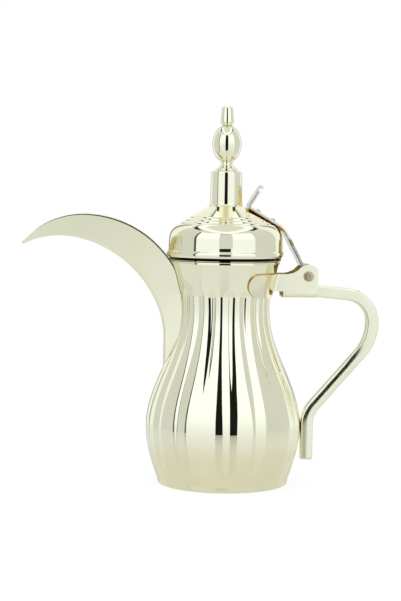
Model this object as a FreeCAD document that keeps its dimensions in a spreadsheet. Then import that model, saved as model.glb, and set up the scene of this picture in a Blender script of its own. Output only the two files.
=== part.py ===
"""Dallah coffee pot in millimetres: +Z up, origin under the pot's axis, spout to -X, handle to +X."""
import FreeCAD
import Part
import Sketcher
import math
import os
from types import SimpleNamespace

doc = FreeCAD.newDocument("dallah")

# Driving sizes: lengths in millimetres, angles in degrees, heights from the standing plane.
SIZES = (
    ("wall", 1.0, "sheet of the body, the base and the lid"),
    ("braze_gap", 0.05, "space between brazed or welded pieces"),
    ("fit_gap", 0.1, "space round a piece that sits inside another"),
    ("moving_gap", 0.3, "space between the lid and the fixed pieces"),
    ("running_gap", 0.05, "radial play of the hinge pin in the strap's eye"),
    ("base_radius", 44.5, "body side carried down to the standing plane"),
    ("base_corner", 2.2, "rounded lower corner of the base"),
    ("base_seam", 4.0, "height of the seam between base and body"),
    ("belly_radius", 54.0, "body over the flute crests at its widest"),
    ("belly_height", 40.0, "height of the widest place"),
    ("waist_radius", 31.4, "body over the flute crests at its narrowest"),
    ("waist_height", 121.0, "height of the narrowest place"),
    ("mouth_radius", 38.0, "body at its upper edge"),
    ("body_top", 153.2, "height of the body's upper edge"),
    ("flute_count", 18, "lobes round the body"),
    ("flute_bottom", 10.0, "height where the flutes begin"),
    ("flute_bottom_fade", 9.0, "length over which they deepen"),
    ("flute_top", 136.0, "height where the flutes end"),
    ("flute_top_fade", 5.0, "length over which they run out"),
    ("flute_depth_belly", 0.9, "valley under the crests at the belly"),
    ("flute_depth_neck", 1.7, "valley under the crests at the neck"),
    ("ring_lip", 0.4, "mouth ring past the sheet on either side"),
    ("ring_height", 1.8, "mouth ring above the body's edge"),
    ("port_width", 8.0, "slot in the body behind the spout"),
    ("port_low", 106.0, "lower end of that slot"),
    ("port_high", 138.0, "upper end of that slot"),
    ("strainer_sheet", 0.8, "thickness of the strainer"),
    ("strainer_margin", 4.0, "strainer past the port on every side"),
    ("strainer_hole", 1.1, "radius of a strainer hole"),
    ("strainer_pitch", 3.6, "from one strainer hole to the next"),
    ("spout_sheet", 1.0, "thickness of the spout"),
    ("spout_foot", 76.0, "height of the spout's lower end"),
    ("spout_root_reach", 42.5, "keel from the axis along its upright stretch"),
    ("spout_root_top", 103.0, "height where the keel leaves the upright"),
    ("spout_keel_reach", 114.1, "keel's highest place from the axis"),
    ("spout_keel_top", 171.0, "height of the keel's highest place"),
    ("spout_lip_reach", 97.6, "lip's highest place from the axis"),
    ("spout_lip_top", 186.0, "height of the lip's highest place"),
    ("spout_reach", 140.3, "tip from the axis"),
    ("spout_tip", 166.1, "height of the tip"),
    ("spout_tip_depth", 1.4, "depth of the trough at the tip"),
    ("spout_half_width", 9.3, "half width of the lip at the mouth"),
    ("spout_tip_half_width", 0.8, "half width of the lip at the tip"),
    ("spout_keel_radius", 3.0, "fold of the keel at the mouth"),
    ("spout_tip_keel_radius", 0.5, "fold of the keel at the tip"),
    ("hinge_reach", 56.9, "hinge pin from the axis"),
    ("hinge_drop", 8.2, "hinge pin below the body's upper edge"),
    ("pin_radius", 2.0, "hinge pin's shank"),
    ("pin_head_radius", 3.6, "hinge pin's head"),
    ("pin_head_height", 1.4, "height of that head"),
    ("pin_dimple", 1.0, "radius of the dimple in the head"),
    ("bracket_sheet", 1.5, "thickness of the bracket"),
    ("bracket_end", 63.5, "bracket's handle end from the axis"),
    ("bracket_drop", 14.8, "bracket's underside below the hinge pin"),
    ("bracket_floor_start", 41.0, "near end of the bracket's floor from the axis"),
    ("bracket_crown", 8.1, "radius of the cheek round the pin"),
    ("arm_width", 16.2, "width of the arms round the neck"),
    ("arm_step", 4.4, "cheeks' lower edge beside the neck, over the arms' lower edge"),
    ("arm_end", 13.5, "arms' rounded ends from the axis plane"),
    ("handle_height", 9.0, "handle's section in the plane of its bends"),
    ("handle_depth", 11.0, "handle's section across that plane"),
    ("handle_corner", 2.4, "rounded corner of that section"),
    ("handle_wall", 1.2, "thickness of the handle tube"),
    ("handle_lift", 4.4, "middle of the handle's upper run, where it starts, over the bracket's underside"),
    ("handle_fall", 5.5, "handle's upper run down from the level"),
    ("handle_reach", 103.4, "handle's outermost centre line from the axis"),
    ("handle_top_bend", 19.8, "bend at the top of the handle"),
    ("handle_back_bend", 33.0, "bend into the slanted run"),
    ("handle_foot_bend", 20.0, "bend from the slanted run to the belly"),
    ("handle_slant", 41.0, "slanted run from the upright"),
    ("handle_foot", 17.8, "height of the tube's lower end"),
    ("plug_head", 1.2, "end plug below the tube"),
    ("plug_chamfer", 0.7, "chamfer on the end plug"),
    ("plug_length", 8.0, "end plug inside the tube"),
    ("tenon_start", 44.0, "tenon's near end from the axis"),
    ("tenon_height", 5.6, "tenon above the bracket's floor"),
    ("spigot_length", 13.0, "tenon inside the handle tube"),
    ("lid_gap", 2.6, "open line between mouth ring and lid"),
    ("lid_radius", 40.0, "lid's upright wall at its foot"),
    ("lid_bead", 2.2, "half height of the lid's rolled bead"),
    ("lid_bead_lip", 0.75, "that bead past the wall"),
    ("lid_shoulder_radius", 39.2, "lid's wall carried up to the cone"),
    ("lid_shoulder", 19.3, "height of that corner above the lid's edge"),
    ("lid_shoulder_bend", 12.0, "rounding of the shoulder"),
    ("cone_slope", 30.3, "lid's cone from the level"),
    ("groove_count", 3, "fine rings on the cone"),
    ("groove_first", 32.8, "outermost ring from the axis"),
    ("groove_pitch", 3.4, "from one ring to the next"),
    ("groove_half_width", 0.6, "half width of a ring"),
    ("groove_depth", 0.35, "depth of a ring"),
    ("tower_radius", 11.3, "tower at its foot"),
    ("tower_top_radius", 10.8, "tower at its top"),
    ("tower_foot_bend", 3.0, "rounding between cone and tower"),
    ("tower_top_bend", 2.0, "rounding of the tower's top edge"),
    ("lid_height", 59.4, "tower's top above the lid's edge"),
    ("skirt_radius", 33.5, "sleeve that drops into the mouth"),
    ("skirt_depth", 7.3, "that sleeve below its flange"),
    ("skirt_collar", 5.0, "skirt's upright collar above the lid's edge"),
    ("stud_radius", 2.0, "finial's threaded stud"),
    ("collar_radius", 7.7, "finial collar's flange"),
    ("collar_flange", 1.4, "height of that flange"),
    ("collar_step_radius", 6.2, "collar over its flange"),
    ("collar_height", 6.5, "whole collar"),
    ("collar_neck_radius", 4.5, "collar under the ball"),
    ("ball_radius", 10.25, "ball at its widest"),
    ("ball_half_height", 13.4, "ball's egg-shaped half height"),
    ("ball_centre", 11.8, "widest place above the collar"),
    ("ball_height", 24.6, "ball between collar and cap"),
    ("cap_neck_radius", 4.0, "cap's foot on the ball"),
    ("cap_neck", 1.2, "height of that foot"),
    ("cap_radius", 4.9, "cap at its widest"),
    ("cap_widest", 2.4, "height of the widest place"),
    ("cap_top_radius", 3.2, "flat top of the cap"),
    ("cap_height", 12.9, "whole cap"),
    ("cap_thread", 7.5, "depth of the stud's hole in the cap"),
    ("washer_radius", 7.5, "washer under the tower's top"),
    ("washer_sheet", 1.0, "thickness of that washer"),
    ("nut_flats", 7.0, "finial nut across its flats"),
    ("nut_height", 3.2, "finial nut"),
    ("stud_tail", 2.0, "stud below the nut"),
    ("strap_sheet", 2.2, "thickness of the strap"),
    ("strap_width", 19.0, "width of the strap"),
    ("strap_eye", 4.4, "outside of the strap's eye round the pin"),
    ("strap_overhang", 0.4, "strap's bend past the lid's shoulder"),
    ("strap_bend", 14.0, "inside of that bend"),
    ("tab_start", 13.8, "foot of the thumb tab from the axis"),
    ("tab_slope", 58.0, "thumb tab from the level"),
    ("tab_length", 18.6, "thumb tab"),
    ("tab_round", 5.0, "rounded corners of the tab's end"),
    ("tab_bend", 1.0, "inside of the tab's bend"),
    ("rivet_first", 22.4, "upper rivet from the axis"),
    ("rivet_pitch", 10.4, "from the upper rivet to the lower, level"),
    ("rivet_radius", 1.4, "rivet's shank"),
    ("rivet_head_radius", 2.3, "rivet's head"),
    ("rivet_head_height", 1.2, "height of that head"),
    ("burr_radius", 2.6, "washer under a rivet's closed end"),
    ("burr_sheet", 0.6, "thickness of that washer"),
    ("burr_gap", 0.3, "space from that washer to the curved sheet"),
    ("rivet_tail_radius", 2.0, "rivet's closed end"),
    ("rivet_tail", 0.7, "height of that end"),
)
sheet = doc.addObject("Spreadsheet::Sheet", "Sizes")
for row, (alias, number, note) in enumerate(SIZES, 1):
    sheet.set(f"A{row}", alias)
    sheet.set(f"B{row}", str(number))
    sheet.setAlias(f"B{row}", alias)
    sheet.set(f"C{row}", note)
doc.recompute()


class Size:
    """A size as a number and as the sheet expression that gives it."""

    def __init__(self, number, text):
        self.number = number
        self.text = text

    def __add__(self, other):
        other = as_size(other)
        return Size(self.number + other.number, f"({self.text} + {other.text})")

    def __sub__(self, other):
        other = as_size(other)
        return Size(self.number - other.number, f"({self.text} - {other.text})")

    def __mul__(self, other):
        other = as_size(other)
        return Size(self.number * other.number, f"({self.text} * {other.text})")

    def __truediv__(self, other):
        other = as_size(other)
        return Size(self.number / other.number, f"({self.text} / {other.text})")

    def __neg__(self):
        return Size(-self.number, f"(0 - {self.text})")


def as_size(item):
    if isinstance(item, Size):
        return item
    return Size(float(item), str(float(item)))


def sine(angle):
    return Size(math.sin(math.radians(angle.number)), f"sin({angle.text})")


def cosine(angle):
    return Size(math.cos(math.radians(angle.number)), f"cos({angle.text})")


def tangent(angle):
    return Size(math.tan(math.radians(angle.number)), f"tan({angle.text})")


def root(item):
    return Size(math.sqrt(item.number), f"sqrt({item.text})")


size = SimpleNamespace()
value = SimpleNamespace()
for alias, _, _ in SIZES:
    setattr(size, alias, Size(float(sheet.get(alias)), f"Sizes.{alias}"))
    setattr(value, alias, float(sheet.get(alias)))


# Document helpers: bodies, sketches whose corners are bound to the sheet, and features on them.
def new_body(label):
    return doc.addObject("PartDesign::Body", label)


def new_sketch(body, name, role):
    sketch = body.newObject("Sketcher::SketchObject", name)
    plane = [item for item in body.Origin.OriginFeatures if item.Role == role][0]
    sketch.AttachmentSupport = [(plane, "")]
    sketch.MapMode = "FlatFace"
    return sketch


def bind(item, name, amount):
    item.setExpression(name, as_size(amount).text)


def bind_corner(sketch, piece, end, corner):
    """Hold one end of a sketch line at a corner given by two sizes."""
    for axis, amount, own_axis in (("X", corner[0], -2), ("Y", corner[1], -1)):
        if amount.number == 0:
            sketch.addConstraint(Sketcher.Constraint("PointOnObject", piece, end, own_axis))
        else:
            index = sketch.addConstraint(
                Sketcher.Constraint(f"Distance{axis}", -1, 1, piece, end, amount.number))
            bind(sketch, f"Constraints[{index}]", amount)


def draw(sketch, corners, arcs=None, closed=True):
    """Draw sides from corner to corner. arcs maps a side to (radius, 1 for a left or -1 for a right turn)."""
    arcs = arcs or {}
    corners = [(as_size(x), as_size(y)) for x, y in corners]
    sides = len(corners) if closed else len(corners) - 1
    first = sketch.GeometryCount
    starts = []
    ends = []
    for side in range(sides):
        here = FreeCAD.Vector(*[item.number for item in corners[side]], 0)
        there = FreeCAD.Vector(*[item.number for item in corners[(side + 1) % len(corners)]], 0)
        turn = arcs[side][1] if side in arcs else 1
        if side in arcs:
            radius = as_size(arcs[side][0])
            chord = there - here
            left = FreeCAD.Vector(-chord.y, chord.x, 0).normalize()
            rise = math.sqrt(radius.number ** 2 - chord.Length ** 2 / 4)
            centre = (here + there) / 2 + left * (turn * rise)
            low, high = (here, there) if turn > 0 else (there, here)
            angles = [math.atan2(item.y - centre.y, item.x - centre.x) for item in (low, high)]
            circle = Part.Circle(centre, FreeCAD.Vector(0, 0, 1), radius.number)
            piece = sketch.addGeometry(Part.ArcOfCircle(circle, *angles), False)
            index = sketch.addConstraint(Sketcher.Constraint("Radius", piece, radius.number))
            bind(sketch, f"Constraints[{index}]", radius)
        else:
            piece = sketch.addGeometry(Part.LineSegment(here, there), False)
        starts.append(1 if turn > 0 else 2)
        ends.append(2 if turn > 0 else 1)
        bind_corner(sketch, piece, starts[side], corners[side])
    for side in range(sides - 1):
        sketch.addConstraint(Sketcher.Constraint(
            "Coincident", first + side, ends[side], first + side + 1, starts[side + 1]))
    if closed:
        sketch.addConstraint(Sketcher.Constraint(
            "Coincident", first + sides - 1, ends[-1], first, starts[0]))
    else:
        bind_corner(sketch, first + sides - 1, ends[-1], corners[-1])


def draw_circle(sketch, centre, radius):
    """Draw a circle round a place given by two sizes."""
    middle = FreeCAD.Vector(centre[0].number, centre[1].number, 0)
    piece = sketch.addGeometry(Part.Circle(middle, FreeCAD.Vector(0, 0, 1), radius.number), False)
    bind_corner(sketch, piece, 3, centre)
    index = sketch.addConstraint(Sketcher.Constraint("Radius", piece, radius.number))
    bind(sketch, f"Constraints[{index}]", radius)


def turned(label, corners, arcs=None, role="XZ_Plane"):
    """A body turned about its own upright axis from a half profile."""
    body = new_body(label)
    sketch = new_sketch(body, f"{label}_profile", role)
    draw(sketch, corners, arcs)
    feature = body.newObject("PartDesign::Revolution", f"{label}_turn")
    feature.Profile = sketch
    feature.ReferenceAxis = (sketch, ["V_Axis"])
    feature.Angle = 360
    return body


def pad(body, sketch, length):
    """A pad to both sides of its sketch."""
    feature = body.newObject("PartDesign::Pad", f"{sketch.Name}_pad")
    feature.Profile = sketch
    feature.SideType = "Symmetric"
    bind(feature, "Length", length)


def pocket(body, sketch, length):
    """A pocket to both sides of its sketch."""
    feature = body.newObject("PartDesign::Pocket", f"{sketch.Name}_pocket")
    feature.Profile = sketch
    feature.SideType = "Symmetric"
    bind(feature, "Length", length)


def rectangle(left, low, right, high):
    return [(left, low), (right, low), (right, high), (left, high)]


def rounded_rectangle(half_width, half_height, corner, middle=0):
    """Corners and arcs of a rectangle with round corners, centred at a height."""
    middle = as_size(middle)
    inner_width = half_width - corner
    inner_height = half_height - corner
    corners = [
        (-inner_width, middle - half_height), (inner_width, middle - half_height),
        (half_width, middle - inner_height), (half_width, middle + inner_height),
        (inner_width, middle + half_height), (-inner_width, middle + half_height),
        (-half_width, middle + inner_height), (-half_width, middle - inner_height),
    ]
    return corners, {side: (corner, 1) for side in (1, 3, 5, 7)}


def round_edges(body, name, radius, is_edge):
    """Round every edge of the body's present shape whose middle passes a test."""
    doc.recompute()
    shape = body.Shape
    names = [f"Edge{index}" for index, edge in enumerate(shape.Edges, 1) if is_edge(edge)]
    if not names:
        raise RuntimeError(f"{name} finds no edge")
    base = body.Tip
    feature = body.newObject("PartDesign::Fillet", name)
    feature.Base = (base, names)
    bind(feature, "Radius", radius)


def ring_edge(radius, height):
    """A test for the round edge of a turned piece at a radius and a height."""
    def test(edge):
        return all(abs(math.hypot(end.X, end.Y) - radius.number) < 1e-3 and abs(end.Z - height.number) < 1e-3
                   for end in edge.Vertexes)
    return test


def cross_edge(x, z):
    """A test for an edge that runs across the pot at a place in its middle plane."""
    def test(edge):
        return all(abs(end.X - x.number) < 1e-3 and abs(end.Z - z.number) < 1e-3 for end in edge.Vertexes)
    return test


def feature(label, shape):
    """A piece whose shape no sketch gives."""
    item = doc.addObject("Part::Feature", label)
    item.Shape = shape
    item.Placement = FreeCAD.Placement()
    return item


def boolean(kind, label, base, tool):
    item = doc.addObject(f"Part::{kind}", label)
    item.Base = base
    item.Tool = tool
    return item


def cylinder(label, radius, height, x=0, z=0, tilt=None):
    """A round bar from a place in the middle plane, upright or tilted towards +X."""
    item = doc.addObject("Part::Cylinder", label)
    bind(item, "Radius", radius)
    bind(item, "Height", height)
    if tilt is not None:
        item.Placement = FreeCAD.Placement(
            FreeCAD.Vector(), FreeCAD.Rotation(FreeCAD.Vector(0, 1, 0), tilt.number))
        bind(item, "Placement.Rotation.Angle", tilt)
    bind(item, "Placement.Base.x", x)
    bind(item, "Placement.Base.z", z)
    return item


# Vessel body: one fluted sheet, from the seam of the base to the edge of the mouth.
def body_radius(height):
    """Outer radius over the flute crests."""
    if height <= value.belly_height:
        swell = math.sin(math.pi / 2 * height / value.belly_height)
        return value.base_radius + (value.belly_radius - value.base_radius) * swell
    if height <= value.waist_height:
        share = (height - value.belly_height) / (value.waist_height - value.belly_height)
        middle = (value.belly_radius + value.waist_radius) / 2
        return middle + (value.belly_radius - middle) * math.cos(math.pi * share)
    flare = (height - value.waist_height) / (value.body_top - value.waist_height)
    return value.waist_radius + (value.mouth_radius - value.waist_radius) * flare ** 2


def smooth(share):
    share = min(max(share, 0.0), 1.0)
    return share * share * (3 - 2 * share)


def flute_depth(height):
    """Depth of the valleys between the lobes."""
    rise = smooth((height - value.flute_bottom) / value.flute_bottom_fade)
    run_out = smooth((value.flute_top - height) / value.flute_top_fade)
    share = (height - value.belly_height) / (value.flute_top - value.belly_height)
    share = min(max(share, 0.0), 1.0)
    depth = value.flute_depth_belly + (value.flute_depth_neck - value.flute_depth_belly) * share
    return depth * rise * run_out


half_lobe = math.pi / value.flute_count
lobe_steps = 4
height_steps = 84


def lobe_face(inset):
    """One lobe from valley to valley, over the body's whole height, moved inwards by an inset."""
    grid = []
    for step in range(-lobe_steps, lobe_steps + 1):
        across = step / lobe_steps
        angle = across * half_lobe
        line = []
        for level in range(height_steps + 1):
            height = value.base_seam + (value.body_top - value.base_seam) * level / height_steps
            radius = body_radius(height) - inset - flute_depth(height) * across ** 2
            line.append(FreeCAD.Vector(radius * math.cos(angle), radius * math.sin(angle), height))
        grid.append(line)
    surface = Part.BSplineSurface()
    surface.interpolate(grid)
    return surface.toShape()


def level_edge(face, height):
    return [edge for edge in face.Edges if all(abs(end.Z - height) < 1e-6 for end in edge.Vertexes)][0]


def round_the_pot(shape):
    turn = 360 / value.flute_count
    return [shape.rotated(FreeCAD.Vector(), FreeCAD.Vector(0, 0, 1), turn * lobe)
            for lobe in range(int(value.flute_count))]


def closed_solid(faces):
    shell = Part.makeShell(faces)
    shell.sewShape()
    solid = Part.makeSolid(shell)
    if solid.Volume < 0:
        solid.reverse()
    return solid


def body_sheet():
    outer = lobe_face(0)
    inner = lobe_face(value.wall)
    faces = round_the_pot(outer) + round_the_pot(inner)
    for height in (value.base_seam, value.body_top):
        far = level_edge(outer, height)
        near = level_edge(inner, height)
        ends = [Part.LineSegment(far.Vertexes[end].Point, near.Vertexes[end].Point).toShape()
                for end in (0, 1)]
        faces += round_the_pot(Part.Face(Part.Wire(Part.__sortEdges__([far, near] + ends))))
    return closed_solid(faces)


def body_block(gap):
    """The body as a full block, grown by a gap, to trim what is brazed on it."""
    lobe = lobe_face(-gap)
    faces = round_the_pot(lobe)
    for height in (value.base_seam, value.body_top):
        edges = round_the_pot(level_edge(lobe, height))
        faces.append(Part.Face(Part.Wire(Part.__sortEdges__(edges))))
    return closed_solid(faces)


body_shell = feature("body_shell", body_sheet())
port_body = new_body("port_tool")
port_sketch = new_sketch(port_body, "port_outline", "YZ_Plane")
port_corners, port_arcs = rounded_rectangle(
    size.port_width / 2, (size.port_high - size.port_low) / 2, size.port_width / 2 - size.fit_gap,
    (size.port_high + size.port_low) / 2)
draw(port_sketch, port_corners, port_arcs)
port_pad = port_body.newObject("PartDesign::Pad", "port_pad")
port_pad.Profile = port_sketch
port_pad.Reversed = True
bind(port_pad, "Length", size.belly_radius)
vessel_body = boolean("Cut", "vessel_body", body_shell, port_body)

# Base: a pressed dish with a flat underside, butted to the body's lower edge.
base_side = size.base_radius + (size.belly_radius - size.base_radius) * sine(
    size.base_corner * 90 / size.belly_height)
seam_radius = size.base_radius + (size.belly_radius - size.base_radius) * sine(
    size.base_seam * 90 / size.belly_height)
base_flat = base_side - size.base_corner
vessel_base = turned("vessel_base", [
    (0, 0), (base_flat, 0), (base_side, size.base_corner), (seam_radius, size.base_seam),
    (seam_radius - size.wall, size.base_seam), (base_side - size.wall, size.base_corner),
    (base_flat, size.wall), (0, size.wall),
], {1: (size.base_corner, 1), 5: (size.base_corner - size.wall, -1)})

# Mouth ring: a bead with a round top, set on the body's upper edge.
ring_half = size.wall / 2 + size.ring_lip
ring_middle = size.mouth_radius - size.wall / 2
ring_top = size.body_top + size.ring_height
mouth_ring = turned("mouth_ring", [
    (ring_middle - ring_half, size.body_top), (ring_middle + ring_half, size.body_top),
    (ring_middle + ring_half, ring_top - ring_half), (ring_middle, ring_top),
    (ring_middle - ring_half, ring_top - ring_half),
], {2: (ring_half, 1), 3: (ring_half, 1)})


# Spout: a sheet folded along its keel into a crescent trough, open along its top.
def arc_height(x, top_x, top_height, end_x, end_height):
    """Height on the circle that is level at its top and passes through an end."""
    across = end_x - top_x
    drop = top_height - end_height
    radius = (across ** 2 + drop ** 2) / (2 * drop)
    return top_height - radius + math.sqrt(radius ** 2 - (x - top_x) ** 2)


lip_root_reach = value.mouth_radius
lip_root_height = value.body_top + value.ring_height / 2
keel_curve = 1.85


def lip_height(reach):
    if reach < value.spout_lip_reach:
        end = (lip_root_reach, lip_root_height)
    else:
        end = (value.spout_reach, value.spout_tip)
    return arc_height(reach, value.spout_lip_reach, value.spout_lip_top, *end)


def keel_height(reach):
    if reach > value.spout_keel_reach:
        tip = value.spout_tip - value.spout_tip_depth
        return arc_height(reach, value.spout_keel_reach, value.spout_keel_top, value.spout_reach, tip)
    across = (value.spout_keel_reach - reach) / (value.spout_keel_reach - value.spout_root_reach)
    rise = (1 - across ** keel_curve) ** (1 / keel_curve)
    return value.spout_root_top + (value.spout_keel_top - value.spout_root_top) * rise


def trough_section(keel, lip, half_width, fold, sheet=0.0, above=0.0):
    """A closed V with a round fold between keel and lip, drawn in by a sheet and carried on above."""
    keel = FreeCAD.Vector(-keel[0], 0, keel[1])
    lip = FreeCAD.Vector(-lip[0], 0, lip[1])
    depth = (lip - keel).Length
    up = (lip - keel).normalize()
    aside = FreeCAD.Vector(0, 1, 0)
    reach = math.hypot(half_width, depth - fold)
    touch = math.atan2(depth - fold, half_width) - math.acos(fold / reach)
    radius = max(fold - sheet, value.spout_tip_keel_radius / 2)
    middle = sheet + radius
    side = FreeCAD.Vector(-math.sin(touch), math.cos(touch), 0)
    foot = FreeCAD.Vector(radius * math.cos(touch), middle + radius * math.sin(touch), 0)
    top = foot + side * ((depth + above - foot.y) / side.y)

    def place(across, rise):
        return keel + aside * across + up * rise

    fold_arc = Part.Arc(place(-foot.x, foot.y), place(0, middle - radius), place(foot.x, foot.y))
    return Part.Wire([
        fold_arc.toShape(),
        Part.LineSegment(place(foot.x, foot.y), place(top.x, top.y)).toShape(),
        Part.LineSegment(place(top.x, top.y), place(-top.x, top.y)).toShape(),
        Part.LineSegment(place(-top.x, top.y), place(-foot.x, foot.y)).toShape(),
    ])


def trough_sections(sheet, above, last_share):
    """Sections from the spout's foot up the body, then out along the free spout."""
    sections = []
    root_steps = 4
    inside = value.waist_radius - 4 * value.spout_sheet
    keel_start = value.spout_root_reach + 1.4 * value.spout_half_width
    rise_end = keel_height(keel_start)
    for step in range(root_steps):
        share = step / root_steps
        height = value.spout_foot + (rise_end - value.spout_foot) * share
        reach = value.spout_root_reach
        if height > value.spout_root_top:
            climb = (height - value.spout_root_top) / (value.spout_keel_top - value.spout_root_top)
            across = (1 - climb ** keel_curve) ** (1 / keel_curve)
            reach = value.spout_keel_reach - (value.spout_keel_reach - value.spout_root_reach) * across
        lean = (lip_root_height - rise_end) * (0.4 + 0.4 * share)
        half_width = value.spout_half_width * (0.65 + 0.35 * share)
        sections.append(trough_section(
            (reach, height), (inside, height + lean), half_width, value.spout_keel_radius, sheet, above))
    root_depth = math.hypot(keel_start - lip_root_reach, lip_root_height - rise_end)
    free_steps = 8
    for step in range(free_steps + 1):
        share = last_share * step / free_steps
        lip_reach = lip_root_reach + (value.spout_reach - lip_root_reach) * share
        keel_reach = keel_start + (value.spout_reach - keel_start) * share
        keel = (keel_reach, keel_height(keel_reach))
        lip = (lip_reach, lip_height(lip_reach))
        depth = math.dist(keel, lip)
        half_width = max(value.spout_half_width * depth / root_depth, value.spout_tip_half_width)
        fold = value.spout_keel_radius + (value.spout_tip_keel_radius - value.spout_keel_radius) * share
        sections.append(trough_section(keel, lip, half_width, fold, sheet, above))
    return sections


spout_outside = Part.makeLoft(trough_sections(0.0, 0.0, 1.0), True)
spout_inside = Part.makeLoft(trough_sections(value.spout_sheet, 4 * value.spout_sheet, 0.8), True)
mouth_space = Part.makeCylinder(
    value.mouth_radius + value.ring_lip + value.fit_gap, 2 * value.ring_height,
    FreeCAD.Vector(0, 0, value.body_top))
spout_trough = spout_outside.cut(spout_inside)
spout_shape = spout_trough.cut(body_block(value.braze_gap)).cut(mouth_space)
spout_pieces = sorted(spout_shape.Solids, key=lambda solid: solid.Volume)
spout_shell = feature("spout_shell", spout_pieces[-1])


# Strainer: a perforated strip that follows the neck and lies on the ridges inside the flutes.
def side_curve(radius_at, low, high, extra=0.0):
    steps = 16
    heights = [low + (high - low) * step / steps for step in range(steps + 1)]
    curve = Part.BSplineCurve()
    curve.interpolate([FreeCAD.Vector(radius_at(height) + extra, 0, height) for height in heights])
    return curve.toShape()


def turned_strip(radius_at, sheet, low, high, half_angle, middle_angle):
    """A strip of sheet that follows the pot's side between two heights and two angles."""
    curves = [side_curve(radius_at, low, high, extra) for extra in (0, sheet)]
    ends = [Part.LineSegment(curves[0].Vertexes[end].Point, curves[1].Vertexes[end].Point).toShape()
            for end in (0, 1)]
    section = Part.Face(Part.Wire(Part.__sortEdges__(curves + ends)))
    axis = FreeCAD.Vector(0, 0, 1)
    section.rotate(FreeCAD.Vector(), axis, middle_angle - half_angle)
    return section.revolve(FreeCAD.Vector(), axis, 2 * half_angle)


def turned_block(radius_at, low, high):
    """The full round block inside a side that is given by its radius at each height."""
    axis_low = FreeCAD.Vector(0, 0, low)
    axis_high = FreeCAD.Vector(0, 0, high)
    side = side_curve(radius_at, low, high)
    foot, head = [end.Point for end in side.Vertexes]
    lines = [Part.LineSegment(*ends).toShape() for ends in
             ((axis_low, foot), (head, axis_high), (axis_high, axis_low))]
    section = Part.Face(Part.Wire(Part.__sortEdges__([side] + lines)))
    return section.revolve(FreeCAD.Vector(), FreeCAD.Vector(0, 0, 1), 360)


def strainer_radius(height):
    return body_radius(height) - flute_depth(height) - value.wall - value.fit_gap - value.strainer_sheet


strainer_half = value.port_width / 2 + value.strainer_margin
strainer_angle = math.degrees(math.asin(strainer_half / strainer_radius(value.port_low)))
strainer_plate = turned_strip(
    strainer_radius, value.strainer_sheet, value.port_low - value.strainer_margin,
    value.port_high + value.strainer_margin, strainer_angle, 180)
hole_columns = int((value.port_width - 2 * value.strainer_hole) / value.strainer_pitch) + 1
hole_rows = int((value.port_high - value.port_low - 4 * value.strainer_hole) / value.strainer_pitch) + 1
strainer_holes = []
for column in range(hole_columns):
    for level in range(hole_rows):
        y = (column - (hole_columns - 1) / 2) * value.strainer_pitch
        z = (value.port_low + value.port_high) / 2 + (level - (hole_rows - 1) / 2) * value.strainer_pitch
        strainer_holes.append(Part.makeCylinder(
            value.strainer_hole, value.belly_radius, FreeCAD.Vector(0, y, z), FreeCAD.Vector(-1, 0, 0)))
spout_strainer = feature("spout_strainer", strainer_plate.cut(strainer_holes))

# Hinge bracket: a bent sheet with two cheeks and a floor, and two arms that lie round the neck.
channel_inside = size.strap_width + size.moving_gap * 2
channel_outside = channel_inside + size.bracket_sheet * 2
hinge_height = size.body_top - size.hinge_drop
bracket_floor = hinge_height - size.bracket_drop
floor_top = bracket_floor + size.bracket_sheet
arm_notch = bracket_floor + size.arm_step
arm_high = bracket_floor + size.arm_width
crown_run = size.bracket_end - size.hinge_reach
crown_rise = root(size.bracket_crown * size.bracket_crown - crown_run * crown_run)
saddle = hinge_height + size.bracket_crown * 0.55
saddle_reach = size.hinge_reach - size.bracket_crown * 0.835
sweep_start = saddle_reach - size.bracket_crown
cheeks = new_body("bracket_cheeks")
cheek_sketch = new_sketch(cheeks, "cheek_outline", "XZ_Plane")
draw(cheek_sketch, [
    (size.waist_radius - size.wall * 4, arm_notch),
    (size.bracket_floor_start - size.bracket_sheet, arm_notch),
    (size.bracket_floor_start - size.bracket_sheet, floor_top),
    (size.bracket_floor_start, bracket_floor),
    (size.bracket_end, bracket_floor),
    (size.bracket_end, hinge_height + crown_rise),
    (saddle_reach, saddle),
    (sweep_start, arm_high),
    (size.waist_radius - size.wall * 4, arm_high),
], {2: (size.bracket_sheet, 1), 5: (size.bracket_crown, 1), 6: (size.bracket_crown * 2, -1)})
pad(cheeks, cheek_sketch, channel_outside)
channel_sketch = new_sketch(cheeks, "channel_space", "XZ_Plane")
draw(channel_sketch, rectangle(
    0, floor_top, size.bracket_end + size.wall, hinge_height + size.bracket_crown * 2))
pocket(cheeks, channel_sketch, channel_inside)
pin_hole_sketch = new_sketch(cheeks, "pin_hole", "XZ_Plane")
hinge = (size.hinge_reach, hinge_height)
draw_circle(pin_hole_sketch, hinge, size.pin_radius + size.braze_gap)
pocket(cheeks, pin_hole_sketch, channel_outside * 2)


def arm_radius(height):
    return body_radius(height) + value.braze_gap


arm_low = bracket_floor.number
arm_round = value.arm_width / 2
arm_centre = value.arm_end + arm_round
arm_middle = arm_low + arm_round
arm_sleeve = turned_strip(arm_radius, value.bracket_sheet, arm_low, arm_high.number, 85, 0)
arm_bar = Part.makeBox(
    value.belly_radius, 2 * value.belly_radius, 2 * arm_round,
    FreeCAD.Vector(arm_centre, -value.belly_radius, arm_low))
arm_tip = Part.makeCylinder(
    arm_round, 2 * value.belly_radius, FreeCAD.Vector(arm_centre, -value.belly_radius, arm_middle),
    FreeCAD.Vector(0, 1, 0))
between_cheeks = Part.makeBox(
    value.belly_radius, channel_inside.number, 2 * arm_round,
    FreeCAD.Vector(0, -channel_inside.number / 2, arm_low))
bracket_arms = feature("bracket_arms", arm_sleeve.common(arm_bar.fuse(arm_tip)).cut(between_cheeks))
neck_block = feature("neck_block", turned_block(
    arm_radius, arm_low - arm_round, value.body_top))
bracket_whole = boolean("Fuse", "bracket_whole", cheeks, bracket_arms)
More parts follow.
